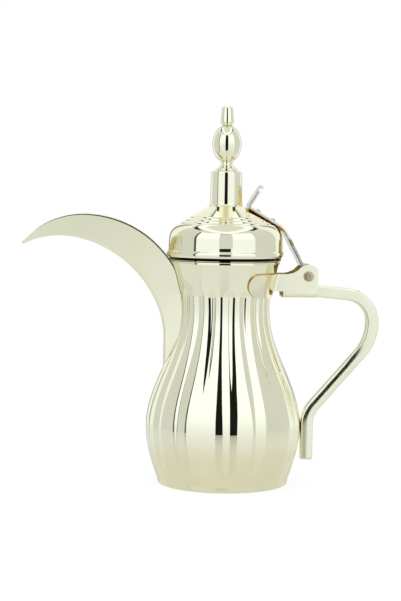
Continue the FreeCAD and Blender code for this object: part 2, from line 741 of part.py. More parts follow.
hinge_bracket = boolean("Cut", "hinge_bracket", bracket_whole, neck_block)

# Hinge pin: a rivet through both cheeks, closed to a dimpled head on either side.
pin_seat = channel_outside / 2 + size.braze_gap
pin_end = pin_seat + size.pin_head_height
pin_edge = size.pin_head_height / 2
hinge_pin = turned("hinge_pin", [
    (0, -pin_end + pin_edge), (size.pin_dimple, -pin_end),
    (size.pin_head_radius - pin_edge, -pin_end), (size.pin_head_radius, -pin_end + pin_edge),
    (size.pin_head_radius, -pin_seat), (size.pin_radius, -pin_seat),
    (size.pin_radius, pin_seat), (size.pin_head_radius, pin_seat),
    (size.pin_head_radius, pin_end - pin_edge), (size.pin_head_radius - pin_edge, pin_end),
    (size.pin_dimple, pin_end), (0, pin_end - pin_edge),
], {2: (pin_edge, 1), 8: (pin_edge, 1)}, "XY_Plane")
bind(hinge_pin, "Placement.Base.x", size.hinge_reach)
bind(hinge_pin, "Placement.Base.z", hinge_height)

# Handle: a bent tube of rounded rectangular section, from the bracket round and down to the belly.
handle_level = bracket_floor + size.handle_lift
handle_start = size.bracket_end + size.fit_gap
foot_reach = size.belly_radius + size.fit_gap + size.handle_height / 2
top_bend_reach = size.handle_reach - size.handle_top_bend * (as_size(1) - sine(size.handle_fall))


def run_height(reach):
    """Middle of the handle's upper run at a distance from the axis."""
    return handle_level - (reach - handle_start) * tangent(size.handle_fall)


run_back = handle_start - size.handle_height * sine(size.handle_fall)
top_bend_high = run_height(top_bend_reach)
top_bend_low = top_bend_high - size.handle_top_bend * cosine(size.handle_fall)
slant_in = as_size(1) - cosine(size.handle_slant)
slant_top_reach = size.handle_reach - size.handle_back_bend * slant_in
slant_top = top_bend_low - size.handle_back_bend * sine(size.handle_slant)
slant_foot_reach = foot_reach + size.handle_foot_bend * slant_in
slant_foot = slant_top - (slant_top_reach - slant_foot_reach) / tangent(size.handle_slant)
foot_bend_low = slant_foot - size.handle_foot_bend * sine(size.handle_slant)
handle_tube = new_body("handle_tube")
handle_path = new_sketch(handle_tube, "handle_path", "XZ_Plane")
draw(handle_path, [
    (run_back, run_height(run_back)), (top_bend_reach, top_bend_high),
    (size.handle_reach, top_bend_low), (slant_top_reach, slant_top),
    (slant_foot_reach, slant_foot), (foot_reach, foot_bend_low), (foot_reach, size.handle_foot),
], {1: (size.handle_top_bend, -1), 2: (size.handle_back_bend, -1), 4: (size.handle_foot_bend, 1)}, False)


def handle_section(drawn_in):
    """Half width, half height and corner of the handle's section, drawn in from its outside."""
    return size.handle_depth / 2 - drawn_in, size.handle_height / 2 - drawn_in, size.handle_corner - drawn_in


def run_section(body, name, drawn_in):
    """A section square across the start of the handle's upper run."""
    sketch = new_sketch(body, name, "YZ_Plane")
    sketch.AttachmentOffset = FreeCAD.Placement(
        FreeCAD.Vector(), FreeCAD.Rotation(FreeCAD.Vector(1, 0, 0), value.handle_fall))
    bind(sketch, "AttachmentOffset.Rotation.Angle", size.handle_fall)
    bind(sketch, "AttachmentOffset.Base.y", run_height(run_back))
    bind(sketch, "AttachmentOffset.Base.z", run_back)
    draw(sketch, *rounded_rectangle(*handle_section(drawn_in)))
    return sketch


def cut_upright(body, name, reach):
    """Cut the start of the upper run off along an upright plane."""
    sketch = new_sketch(body, name, "XZ_Plane")
    draw(sketch, rectangle(
        reach - size.handle_height, handle_level - size.handle_height, reach, handle_level + size.handle_height))
    pocket(body, sketch, size.handle_depth * 2)


for kind, drawn_in in (("Additive", as_size(0)), ("Subtractive", size.handle_wall)):
    section = run_section(handle_tube, f"handle_{kind.lower()}_section", drawn_in)
    pipe = handle_tube.newObject(f"PartDesign::{kind}Pipe", f"handle_{kind.lower()}_pipe")
    pipe.Profile = section
    pipe.Spine = (handle_path, [])
    doc.recompute()
cut_upright(handle_tube, "handle_end", handle_start)

# Tenon: a block on the bracket's floor, with a spigot inside the handle tube.
handle_tenon = new_body("handle_tenon")
spigot = handle_tenon.newObject("PartDesign::Pad", "spigot_pad")
spigot.Profile = run_section(handle_tenon, "spigot_outline", size.handle_wall + size.fit_gap)
bind(spigot, "Length", size.spigot_length)
cut_upright(handle_tenon, "spigot_end", size.bracket_end)
tenon_sketch = new_sketch(handle_tenon, "tenon_outline", "XZ_Plane")
draw(tenon_sketch, rectangle(
    size.tenon_start, floor_top, size.bracket_end, floor_top + size.tenon_height))
pad(handle_tenon, tenon_sketch, channel_inside - size.fit_gap * 2)

# End plug: a chamfered plate under the tube's lower end, with a stem inside the tube.
handle_end_plug = new_body("handle_end_plug")
bind(handle_end_plug, "Placement.Base.x", foot_reach)
bind(handle_end_plug, "Placement.Base.z", size.handle_foot)


def plug_sketch(name, drawn_in):
    sketch = new_sketch(handle_end_plug, name, "XY_Plane")
    half_width, half_height, corner = handle_section(drawn_in)
    draw(sketch, *rounded_rectangle(half_height, half_width, corner))
    return sketch


plug_plate = handle_end_plug.newObject("PartDesign::Pad", "plug_plate")
plug_plate.Profile = plug_sketch("plug_plate_outline", as_size(0))
plug_plate.Reversed = True
bind(plug_plate, "Length", size.plug_head)
plug_stem = handle_end_plug.newObject("PartDesign::Pad", "plug_stem")
plug_stem.Profile = plug_sketch("plug_stem_outline", size.handle_wall + size.fit_gap)
bind(plug_stem, "Length", size.plug_length)
doc.recompute()
plug_edge = handle_end_plug.newObject("PartDesign::Chamfer", "plug_edge")
plug_edge.Base = (plug_stem, [
    f"Edge{index}" for index, edge in enumerate(plug_stem.Shape.Edges, 1)
    if all(abs(end.Z + value.plug_head) < 1e-6 for end in edge.Vertexes)])
bind(plug_edge, "Size", size.plug_chamfer)

# Lid: a spun dome with a rolled bead, fine rings on its cone and a hollow tower.
lid_edge = ring_top + size.lid_gap
shoulder_height = lid_edge + size.lid_shoulder
tower_top = lid_edge + size.lid_height
slope = tangent(size.cone_slope)
sheet_rise = size.wall / cosine(size.cone_slope)


def cone_height(radius):
    """Height of the lid's cone at a radius."""
    return shoulder_height + (size.lid_shoulder_radius - radius) * slope


lid_inner = size.lid_radius - size.wall
shoulder_inner = size.lid_shoulder_radius - size.wall
tower_inner = size.tower_radius - size.wall
tower_top_inner = size.tower_top_radius - size.wall
stud_hole = size.stud_radius + size.fit_gap
bead_top = lid_edge + size.lid_bead * 2
bead_curve = size.lid_bead_lip / 2 + size.lid_bead * size.lid_bead / (size.lid_bead_lip * 2)
lid_corners = [
    (lid_inner, lid_edge), (size.lid_radius, lid_edge),
    (size.lid_radius, bead_top), (size.lid_shoulder_radius, shoulder_height),
]
for ring in range(int(value.groove_count)):
    middle = size.groove_first - size.groove_pitch * ring
    lid_corners += [
        (middle + size.groove_half_width, cone_height(middle + size.groove_half_width)),
        (middle, cone_height(middle) - size.groove_depth),
        (middle - size.groove_half_width, cone_height(middle - size.groove_half_width)),
    ]
lid_corners += [
    (size.tower_radius, cone_height(size.tower_radius)), (size.tower_top_radius, tower_top),
    (stud_hole, tower_top), (stud_hole, tower_top - size.wall),
    (tower_top_inner, tower_top - size.wall), (tower_inner, cone_height(tower_inner) - sheet_rise),
    (shoulder_inner, cone_height(shoulder_inner) - sheet_rise),
]
lid_dome = turned("lid_dome", lid_corners, {1: (bead_curve, 1)})
round_edges(lid_dome, "shoulder_bend", size.lid_shoulder_bend,
            ring_edge(size.lid_shoulder_radius, shoulder_height))
round_edges(lid_dome, "shoulder_inner_bend", size.lid_shoulder_bend - size.wall,
            ring_edge(shoulder_inner, cone_height(shoulder_inner) - sheet_rise))
round_edges(lid_dome, "tower_foot_bend", size.tower_foot_bend,
            ring_edge(size.tower_radius, cone_height(size.tower_radius)))
round_edges(lid_dome, "tower_top_bend", size.tower_top_bend,
            ring_edge(size.tower_top_radius, tower_top))

# Strap: a flat bar from the hinge over the lid's shoulder and up the cone, bent up into a thumb tab.
strap_rise = size.strap_sheet / cosine(size.cone_slope)
strap_seat = size.braze_gap / cosine(size.cone_slope)
half_strap = size.strap_sheet / 2


def strap_under(x):
    return cone_height(x) + strap_seat


def strap_over(x):
    return cone_height(x) + strap_seat + strap_rise


bend_reach = size.lid_shoulder_radius + size.strap_overhang
bend_height = strap_under(bend_reach) + strap_rise / 2
leg_run = size.hinge_reach - bend_reach
leg_rise = bend_height - hinge_height
leg_length = root(leg_run * leg_run + leg_rise * leg_rise)
leg_across = leg_run / leg_length
leg_up = leg_rise / leg_length


def leg_meets(offset, line_at_axis):
    """Where the leg's face at an offset from its middle meets a line along the cone."""
    start_x = size.hinge_reach + leg_up * offset
    start_z = hinge_height + leg_across * offset
    run = (line_at_axis - start_x * slope - start_z) / (leg_up - leg_across * slope)
    return start_x - leg_across * run, start_z + leg_up * run


under_bend = leg_meets(-half_strap, strap_under(as_size(0)))
over_bend = leg_meets(half_strap, strap_over(as_size(0)))
tab_foot = (size.tab_start, strap_under(size.tab_start))
tab_across = cosine(size.tab_slope)
tab_up = sine(size.tab_slope)
tab_tip = (tab_foot[0] + size.tab_length * tab_across, tab_foot[1] + size.tab_length * tab_up)
tab_back = (tab_tip[0] + size.strap_sheet * tab_up, tab_tip[1] - size.strap_sheet * tab_across)
back_run = (tab_back[1] - strap_over(tab_back[0])) / (tab_up + tab_across * slope)
tab_crook = (tab_back[0] - tab_across * back_run, tab_back[1] - tab_up * back_run)
strap_bar = new_body("strap_bar")
strap_sketch = new_sketch(strap_bar, "strap_outline", "XZ_Plane")
draw(strap_sketch, [
    (size.hinge_reach + leg_up * half_strap, hinge_height + leg_across * half_strap),
    over_bend, tab_crook, tab_back, tab_tip, tab_foot, under_bend,
    (size.hinge_reach - leg_up * half_strap, hinge_height - leg_across * half_strap),
])
pad(strap_bar, strap_sketch, size.strap_width)
round_edges(strap_bar, "strap_under_bend", size.strap_bend, cross_edge(*under_bend))
round_edges(strap_bar, "strap_over_bend", size.strap_bend + size.strap_sheet, cross_edge(*over_bend))
round_edges(strap_bar, "tab_crook_bend", size.tab_bend, cross_edge(*tab_crook))
round_edges(strap_bar, "tab_foot_bend", size.tab_bend + size.strap_sheet, cross_edge(*tab_foot))


def tab_corner(edge):
    """The two short edges through the sheet at the tab's end."""
    across = edge.Vertexes[0].Point - edge.Vertexes[-1].Point
    heights = [end.Z for end in edge.Vertexes]
    return abs(across.Length - value.strap_sheet) < 1e-3 and abs(across.y) < 1e-6 and \
        min(heights) > tab_back[1].number - 1e-3


round_edges(strap_bar, "tab_round", size.tab_round, tab_corner)
eye_sketch = new_sketch(strap_bar, "eye_outline", "XZ_Plane")
draw_circle(eye_sketch, hinge, size.strap_eye)
pad(strap_bar, eye_sketch, size.strap_width)
bore_sketch = new_sketch(strap_bar, "eye_bore", "XZ_Plane")
draw_circle(bore_sketch, hinge, size.pin_radius + size.running_gap)
pocket(strap_bar, bore_sketch, size.strap_width * 2)

# Rivets: two through strap and lid, each closed over a washer inside the lid.
grip = size.strap_sheet + size.braze_gap * 2 + size.wall
rivet_holes = []
rivets = []
burrs = []
for place, name in enumerate(("upper", "lower")):
    reach = size.rivet_first + size.rivet_pitch * place
    over = strap_over(reach)
    rivet_holes.append(cylinder(
        f"{name}_rivet_hole", size.rivet_radius + size.fit_gap, grip * 4,
        reach - grip * 2 * sine(size.cone_slope), over - grip * 2 * cosine(size.cone_slope), size.cone_slope))
    burr_top = -grip - size.burr_gap
    tail_top = burr_top - size.burr_sheet
    rivet = turned(f"{name}_rivet", [
        (0, tail_top - size.rivet_tail), (size.rivet_tail_radius, tail_top),
        (size.rivet_radius, tail_top), (size.rivet_radius, size.braze_gap),
        (size.rivet_head_radius, size.braze_gap), (0, size.rivet_head_height + size.braze_gap),
    ], {
        0: (size.rivet_tail / 2 + size.rivet_tail_radius * size.rivet_tail_radius / (size.rivet_tail * 2), 1),
        4: (size.rivet_head_height / 2
            + size.rivet_head_radius * size.rivet_head_radius / (size.rivet_head_height * 2), 1),
    })
    burr = turned(f"{name}_burr", [
        (size.rivet_radius + size.braze_gap, tail_top + size.braze_gap),
        (size.burr_radius, tail_top + size.braze_gap),
        (size.burr_radius, burr_top), (size.rivet_radius + size.braze_gap, burr_top),
    ])
    for item in (rivet, burr):
        item.Placement = FreeCAD.Placement(
            FreeCAD.Vector(), FreeCAD.Rotation(FreeCAD.Vector(0, 1, 0), value.cone_slope))
        bind(item, "Placement.Rotation.Angle", size.cone_slope)
        bind(item, "Placement.Base.x", reach)
        bind(item, "Placement.Base.z", over)
    rivets.append(rivet)
    burrs.append(burr)
hole_pair = boolean("Fuse", "rivet_holes", *rivet_holes)
lid_shell = boolean("Cut", "lid_shell", lid_dome, hole_pair)
lid_strap = boolean("Cut", "lid_strap", strap_bar, hole_pair)
strap_rivets = doc.addObject("Part::Compound", "strap_rivets")
strap_rivets.Links = rivets
rivet_burrs = doc.addObject("Part::Compound", "rivet_burrs")
rivet_burrs.Links = burrs

# Skirt: a sleeve that drops into the mouth, a flange over the mouth ring and a collar inside the lid.
skirt_under = ring_top + size.moving_gap
skirt_low = skirt_under - size.skirt_depth
skirt_top = lid_edge + size.skirt_collar
wall_lean = (size.lid_radius - size.lid_shoulder_radius) / size.lid_shoulder
collar_foot = lid_inner - size.braze_gap
collar_head = collar_foot - wall_lean * size.skirt_collar
lid_skirt = turned("lid_skirt", [
    (size.skirt_radius - size.wall, skirt_low), (size.skirt_radius, skirt_low),
    (size.skirt_radius, skirt_under), (collar_foot, skirt_under), (collar_foot, lid_edge),
    (collar_head, skirt_top), (collar_head - size.wall, skirt_top),
    (collar_foot - size.wall, lid_edge), (collar_foot - size.wall, skirt_under + size.wall),
    (size.skirt_radius - size.wall, skirt_under + size.wall),
])

# Finial: collar, ball and cap on a stud that a nut draws tight from inside the tower.
collar_top = tower_top + size.collar_height
ball_top = collar_top + size.ball_height
flange_top = tower_top + size.collar_flange
finial_collar = turned("finial_collar", [
    (stud_hole, tower_top), (size.collar_radius, tower_top), (size.collar_radius, flange_top),
    (size.collar_step_radius, flange_top + size.collar_flange),
    (size.collar_neck_radius, collar_top - size.collar_flange), (size.collar_neck_radius, collar_top),
    (stud_hole, collar_top),
], {3: (size.collar_height, -1)})
ball_egg = doc.addObject("Part::Ellipsoid", "ball_egg")
bind(ball_egg, "Radius1", size.ball_half_height)
bind(ball_egg, "Radius2", size.ball_radius)
bind(ball_egg, "Radius3", size.ball_radius)
bind(ball_egg, "Placement.Base.z", collar_top + size.ball_centre)
ball_room = cylinder("ball_room", size.ball_radius * 2, size.ball_height, 0, collar_top)
ball_whole = boolean("Common", "ball_whole", ball_egg, ball_room)
ball_bore = cylinder("ball_bore", stud_hole, size.ball_height * 2, 0, collar_top - size.ball_height / 2)
finial_ball = boolean("Cut", "finial_ball", ball_whole, ball_bore)
cap_top = ball_top + size.cap_height
cap_edge = size.cap_radius - size.cap_top_radius
finial_cap = turned("finial_cap", [
    (stud_hole, ball_top), (size.cap_neck_radius, ball_top), (size.cap_neck_radius, ball_top + size.cap_neck),
    (size.cap_radius, ball_top + size.cap_widest),
    (size.cap_top_radius + cap_edge / 2, cap_top - cap_edge), (size.cap_top_radius, cap_top), (0, cap_top),
    (0, ball_top + size.cap_thread), (stud_hole, ball_top + size.cap_thread),
], {4: (cap_edge, 1)})
washer_top = tower_top - size.wall
nut_top = washer_top - size.washer_sheet
nut_low = nut_top - size.nut_height
finial_washer = turned("finial_washer", rectangle(stud_hole, nut_top, size.washer_radius, washer_top))
stud_low = nut_low - size.stud_tail
finial_stud = turned("finial_stud", rectangle(
    as_size(0), stud_low, size.stud_radius, ball_top + size.cap_thread - size.fit_gap))
finial_nut = new_body("finial_nut")
bind(finial_nut, "Placement.Base.z", nut_low)
nut_sketch = new_sketch(finial_nut, "nut_outline", "XY_Plane")
nut_half = size.nut_flats / 2
nut_point = size.nut_flats / root(as_size(3))
draw(nut_sketch, [
    (nut_point, 0), (nut_point / 2, nut_half), (-(nut_point / 2), nut_half),
    (-nut_point, 0), (-(nut_point / 2), -nut_half), (nut_point / 2, -nut_half),
])
draw_circle(nut_sketch, (as_size(0), as_size(0)), size.stud_radius + size.braze_gap)
nut_pad = finial_nut.newObject("PartDesign::Pad", "nut_pad")
nut_pad.Profile = nut_sketch
bind(nut_pad, "Length", size.nut_height)

# Finished pieces, checked and written one to a file.
doc.recompute()
PIECES = (
    vessel_body, vessel_base, mouth_ring, spout_shell, spout_strainer, hinge_bracket, hinge_pin,
    handle_tube, handle_tenon, handle_end_plug, lid_shell, lid_skirt, lid_strap, strap_rivets, rivet_burrs,
    finial_collar, finial_ball, finial_cap, finial_stud, finial_washer, finial_nut,
)
for item in doc.Objects:
    if "Invalid" in item.State or "Error" in item.State:
        raise RuntimeError(f"{item.Label} failed: {item.State}")
for piece in PIECES:
    if piece.Shape.isNull() or not piece.Shape.isValid() or not piece.Shape.Solids:
        raise RuntimeError(f"{piece.Label} has no valid solid")
os.makedirs("parts", exist_ok=True)
for piece in PIECES:
    piece.Shape.exportStep(f"parts/{piece.Label}.step")
    print(piece.Label, len(piece.Shape.Solids), round(piece.Shape.Volume, 1))
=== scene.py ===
"""Polished coffee pot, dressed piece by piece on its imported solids.

The pot's lengths are written in millimetres and turn into metres when a mesh is made; the camera, the
table and the card are written in metres. The spout points to -X.
"""
import math

import bmesh
import bpy
from mathutils import Matrix, Vector, noise


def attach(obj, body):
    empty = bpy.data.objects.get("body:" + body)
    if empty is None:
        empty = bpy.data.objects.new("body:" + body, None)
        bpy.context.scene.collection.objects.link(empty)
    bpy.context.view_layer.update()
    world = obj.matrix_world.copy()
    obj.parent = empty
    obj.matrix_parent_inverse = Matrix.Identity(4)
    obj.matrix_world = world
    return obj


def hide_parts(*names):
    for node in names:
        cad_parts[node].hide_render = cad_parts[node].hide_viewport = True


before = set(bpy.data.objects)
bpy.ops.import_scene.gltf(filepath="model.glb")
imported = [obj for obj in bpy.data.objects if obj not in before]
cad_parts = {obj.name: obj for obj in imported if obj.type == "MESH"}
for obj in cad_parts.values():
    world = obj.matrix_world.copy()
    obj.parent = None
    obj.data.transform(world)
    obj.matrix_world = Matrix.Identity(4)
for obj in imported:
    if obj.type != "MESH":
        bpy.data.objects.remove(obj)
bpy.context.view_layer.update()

# Vessel body
# The pot's wall: one brass sheet raised into eighteen upright lobes that end below a plain flared
# mouth. It is planished by hand, buffed and plated with pale gold, so its mirror wavers a little.
wall = 1.0
base_radius = 44.5
base_seam = 4.0
belly_radius = 54.0
belly_height = 40.0
waist_radius = 31.4
waist_height = 121.0
mouth_radius = 38.0
body_top = 153.2
lobe_count = 18
flute_bottom = 10.0
flute_bottom_fade = 9.0
flute_top = 136.0
flute_top_fade = 5.0
flute_depth_belly = 0.9
flute_depth_neck = 1.7
port_half_angle = 7.2
port_low = 106.0
port_high = 138.0
dent_size = 11.0
dent_rise = 0.05
dent_stretch = 0.6
pale_gold = (0.91, 0.865, 0.637)
deep_gold = (0.86, 0.78, 0.5)


def body_radius(height):
    """Radius over the lobes' crowns: a round belly, a long waist and a flared mouth."""
    if height < belly_height:
        return base_radius + (belly_radius - base_radius) * math.sin(math.pi / 2 * height / belly_height)
    if height < waist_height:
        share = (height - belly_height) / (waist_height - belly_height)
        middle = (belly_radius + waist_radius) / 2
        return middle + (belly_radius - waist_radius) / 2 * math.cos(math.pi * share)
    share = (height - waist_height) / (body_top - waist_height)
    return waist_radius + (mouth_radius - waist_radius) * share ** 2


def eased(share):
    """Share from 0 to 1 with a gentle start and end."""
    share = min(max(share, 0.0), 1.0)
    return share * share * (3 - 2 * share)


def flute_depth(height):
    """Depth of the valleys between the lobes, which fade out above the base and below the mouth."""
    climb = min(max((height - belly_height) / (flute_top - belly_height), 0.0), 1.0)
    depth = flute_depth_belly + (flute_depth_neck - flute_depth_belly) * climb
    fade_below = eased((height - flute_bottom) / flute_bottom_fade)
    fade_above = eased((flute_top - height) / flute_top_fade)
    return depth * fade_below * fade_above


def lobe_fall(side):
    """Share of the depth that a lobe has lost at a place from -1 to 1 across it; its valleys are rounded."""
    valley = 0.12
    side = abs(side)
    if side < 1 - valley:
        return side ** 2
    return (1 - valley) * (1 - (1 - side) ** 2 / valley)


def body_surface(angle, height):
    """Radius of the pot's outside at an angle in degrees from the handle's side."""
    lobe = 360 / lobe_count
    side = ((angle + lobe / 2) % lobe - lobe / 2) / (lobe / 2)
    return body_radius(height) - flute_depth(height) * lobe_fall(side)


def planished(x, y, height):
    """Slow unevenness that hand work leaves in the sheet, a little drawn out along the pot's height."""
    return dent_rise * noise.noise(Vector((x, y, height * dent_stretch)) / dent_size)


def grid_faces(rows, places, round_row=False, round_column=False):
    """Faces of a grid whose points are listed row by row, closed round either way if asked."""
    faces = []
    for row in range(rows if round_column else rows - 1):
        this_row = row * places
        next_row = (row + 1) % rows * places
        for place in range(places if round_row else places - 1):
            beside = (place + 1) % places
            faces.append((this_row + place, this_row + beside, next_row + beside, next_row + place))
    return faces


def placed(name, data):
    """A new object in the scene."""
    thing = bpy.data.objects.new(name, data)
    bpy.context.collection.objects.link(thing)
    return thing


def make_piece(name, points, faces, crease=35):
    """One smooth-shaded object from points in millimetres; folds sharper than the crease stay crisp."""
    mesh = bpy.data.meshes.new(name)
    mesh.from_pydata([Vector(point) * 0.001 for point in points], [], faces)
    work = bmesh.new()
    work.from_mesh(mesh)
    bmesh.ops.remove_doubles(work, verts=work.verts, dist=1e-7)
    bmesh.ops.recalc_face_normals(work, faces=work.faces)
    work.to_mesh(mesh)
    work.free()
    mesh.shade_smooth()
    mesh.set_sharp_from_angle(angle=math.radians(crease))
    return placed(name, mesh)


def put_node(tree, kind, settings=None, inputs=None):
    """A shader node with its settings, and its inputs given as plain values or as sockets to link."""
    node = tree.nodes.new(kind)
    for name, value in (settings or {}).items():
        setattr(node, name, value)
    for name, value in (inputs or {}).items():
        if isinstance(value, bpy.types.NodeSocket):
            tree.links.new(value, node.inputs[name])
        else:
            node.inputs[name].default_value = value
    return node


def new_group(name, inputs, outputs):
    """An empty shader group; inputs are (label, kind, first value) and outputs (label, kind)."""
    group = bpy.data.node_groups.new(name, "ShaderNodeTree")
    for label, kind, first in inputs:
        group.interface.new_socket(label, in_out="INPUT", socket_type=kind).default_value = first
    for label, kind in outputs:
        group.interface.new_socket(label, in_out="OUTPUT", socket_type=kind)
    return group


def plating_group():
    """Pale gold with slow patches of deeper tone, and more of it down in the creases."""
    group = new_group("plating_tone", [
        ("Pale", "NodeSocketColor", (*pale_gold, 1)), ("Deep", "NodeSocketColor", (*deep_gold, 1)),
        ("Patch Size", "NodeSocketFloat", 25.0)], [("Color", "NodeSocketColor")])
    given = put_node(group, "NodeGroupInput").outputs
    place = put_node(group, "ShaderNodeTexCoord").outputs["Object"]
    patches = put_node(group, "ShaderNodeTexNoise", None, {
        "Vector": place, "Scale": given["Patch Size"], "Detail": 3.0}).outputs["Fac"]
    patches = put_node(group, "ShaderNodeMapRange", None, {
        "Value": patches, "From Min": 0.42, "From Max": 0.75, "To Max": 0.3}).outputs["Result"]
    bend = put_node(group, "ShaderNodeNewGeometry").outputs["Pointiness"]
    crease = put_node(group, "ShaderNodeMapRange", None, {
        "Value": bend, "From Min": 0.49, "From Max": 0.44, "To Max": 0.7}).outputs["Result"]
    share = put_node(group, "ShaderNodeMath", {"operation": "MAXIMUM"}, {0: patches, 1: crease}).outputs[0]
    tone = put_node(group, "ShaderNodeMix", {"data_type": "RGBA"}, {
        0: share, 6: given["Pale"], 7: given["Deep"]}).outputs[2]
    put_node(group, "NodeGroupOutput", None, {"Color": tone})
    return group


def buffing_group():
    """Fine lines that the buff leaves along one direction, and a faint haze of handling."""
    group = new_group("buffing_marks", [
        ("Lines", "NodeSocketVector", (900.0, 900.0, 30.0)), ("Smooth", "NodeSocketFloat", 0.025),
        ("Haze", "NodeSocketFloat", 0.03)], [("Roughness", "NodeSocketFloat"), ("Height", "NodeSocketFloat")])
    given = put_node(group, "NodeGroupInput").outputs
    place = put_node(group, "ShaderNodeTexCoord").outputs["Object"]
    drawn = put_node(group, "ShaderNodeVectorMath", {"operation": "MULTIPLY"}, {
        0: place, 1: given["Lines"]}).outputs[0]
    lines = put_node(group, "ShaderNodeTexNoise", None, {
        "Vector": drawn, "Scale": 1.0, "Detail": 4.0}).outputs["Fac"]
    smudges = put_node(group, "ShaderNodeTexNoise", None, {
        "Vector": place, "Scale": 60.0, "Detail": 5.0}).outputs["Fac"]
    smudges = put_node(group, "ShaderNodeMapRange", None, {
        "Value": smudges, "From Min": 0.45, "From Max": 0.8}).outputs["Result"]
    worn = put_node(group, "ShaderNodeMath", {"operation": "MULTIPLY"}, {0: lines, 1: smudges}).outputs[0]
    rough = put_node(group, "ShaderNodeMath", {"operation": "MULTIPLY_ADD"}, {
        0: worn, 1: given["Haze"], 2: given["Smooth"]}).outputs[0]
    put_node(group, "NodeGroupOutput", None, {"Roughness": rough, "Height": lines})
    return group


def shade_and_stain_group():
    """A colour laid on a box-shaped place with soft and uneven edges, used for painted shade and reflection
    as well as for stains.
    """
    group = new_group("shade_and_stain_place", [
        ("Color", "NodeSocketColor", (*pale_gold, 1)), ("Shade And Stain", "NodeSocketColor", (0.4, 0.2, 0.03, 1)),
        ("Centre", "NodeSocketVector", (0.0, 0.0, 0.0)),
        ("Half Size", "NodeSocketVector", (0.01, 0.01, 0.01)),
        ("Edge", "NodeSocketFloat", 0.0006)], [("Color", "NodeSocketColor")])
    given = put_node(group, "NodeGroupInput").outputs
    place = put_node(group, "ShaderNodeTexCoord").outputs["Object"]
    off = put_node(group, "ShaderNodeVectorMath", {"operation": "SUBTRACT"}, {
        0: place, 1: given["Centre"]}).outputs[0]
    off = put_node(group, "ShaderNodeVectorMath", {"operation": "ABSOLUTE"}, {0: off}).outputs[0]
    off = put_node(group, "ShaderNodeVectorMath", {"operation": "SUBTRACT"}, {
        0: off, 1: given["Half Size"]}).outputs[0]
    sides = put_node(group, "ShaderNodeSeparateXYZ", None, {0: off}).outputs
    outside = sides["X"]
    for side in ("Y", "Z"):
        outside = put_node(group, "ShaderNodeMath", {"operation": "MAXIMUM"}, {
            0: outside, 1: sides[side]}).outputs[0]
    uneven = put_node(group, "ShaderNodeTexNoise", None, {"Vector": place, "Scale": 700.0}).outputs["Fac"]
    outside = put_node(group, "ShaderNodeMath", {"operation": "MULTIPLY_ADD"}, {
        0: uneven, 1: given["Edge"], 2: outside}).outputs[0]
    share = put_node(group, "ShaderNodeMapRange", None, {
        "Value": outside, "From Min": given["Edge"], "From Max": 0.0}).outputs["Result"]
    tone = put_node(group, "ShaderNodeMix", {"data_type": "RGBA"}, {
        0: share, 6: given["Color"], 7: given["Shade And Stain"]}).outputs[2]
    put_node(group, "NodeGroupOutput", None, {"Color": tone})
    return group


plating_tone = plating_group()
buffing_marks = buffing_group()
shade_and_stain_place = shade_and_stain_group()


def bare_material(name):
    """A material with an empty node tree."""
    material = bpy.data.materials.new(name)
    material.use_nodes = True
    material.node_tree.nodes.clear()
    return material


def metal_finish(name, pale=pale_gold, deep=deep_gold, patch=25.0, lines=(900, 900, 30), smooth=0.025,
                 haze=0.03, scratch=0.02, shades_and_stains=(), edge_tint=(1, 1, 1)):
    """Polished metal, gold plate if no tone is given.

    Lines give the buffing's fineness along X, Y and Z. Painted shades and stains are (colour, centre, half
    size, soft edge), with lengths in millimetres.
    """
    finish = bare_material(name)
    tree = finish.node_tree
    tone = put_node(tree, "ShaderNodeGroup", {"node_tree": plating_tone}, {
        "Pale": (*pale, 1), "Deep": (*deep, 1), "Patch Size": patch})
    for colour, centre, half_size, edge in shades_and_stains:
        tone = put_node(tree, "ShaderNodeGroup", {"node_tree": shade_and_stain_place}, {
            "Color": tone.outputs["Color"], "Shade And Stain": (*colour, 1), "Centre": Vector(centre) * 0.001,
            "Half Size": Vector(half_size) * 0.001, "Edge": edge * 0.001})
    marks = put_node(tree, "ShaderNodeGroup", {"node_tree": buffing_marks}, {
        "Lines": lines, "Smooth": smooth, "Haze": haze})
    bump = put_node(tree, "ShaderNodeBump", None, {
        "Strength": scratch, "Distance": 0.0002, "Height": marks.outputs["Height"]})
    metal = put_node(tree, "ShaderNodeBsdfPrincipled", None, {
        "Base Color": tone.outputs["Color"], "Metallic": 1.0, "Roughness": marks.outputs["Roughness"],
        "Specular Tint": (*edge_tint, 1), "Normal": bump.outputs["Normal"]})
    put_node(tree, "ShaderNodeOutputMaterial", None, {"Surface": metal.outputs["BSDF"]})
    return finish


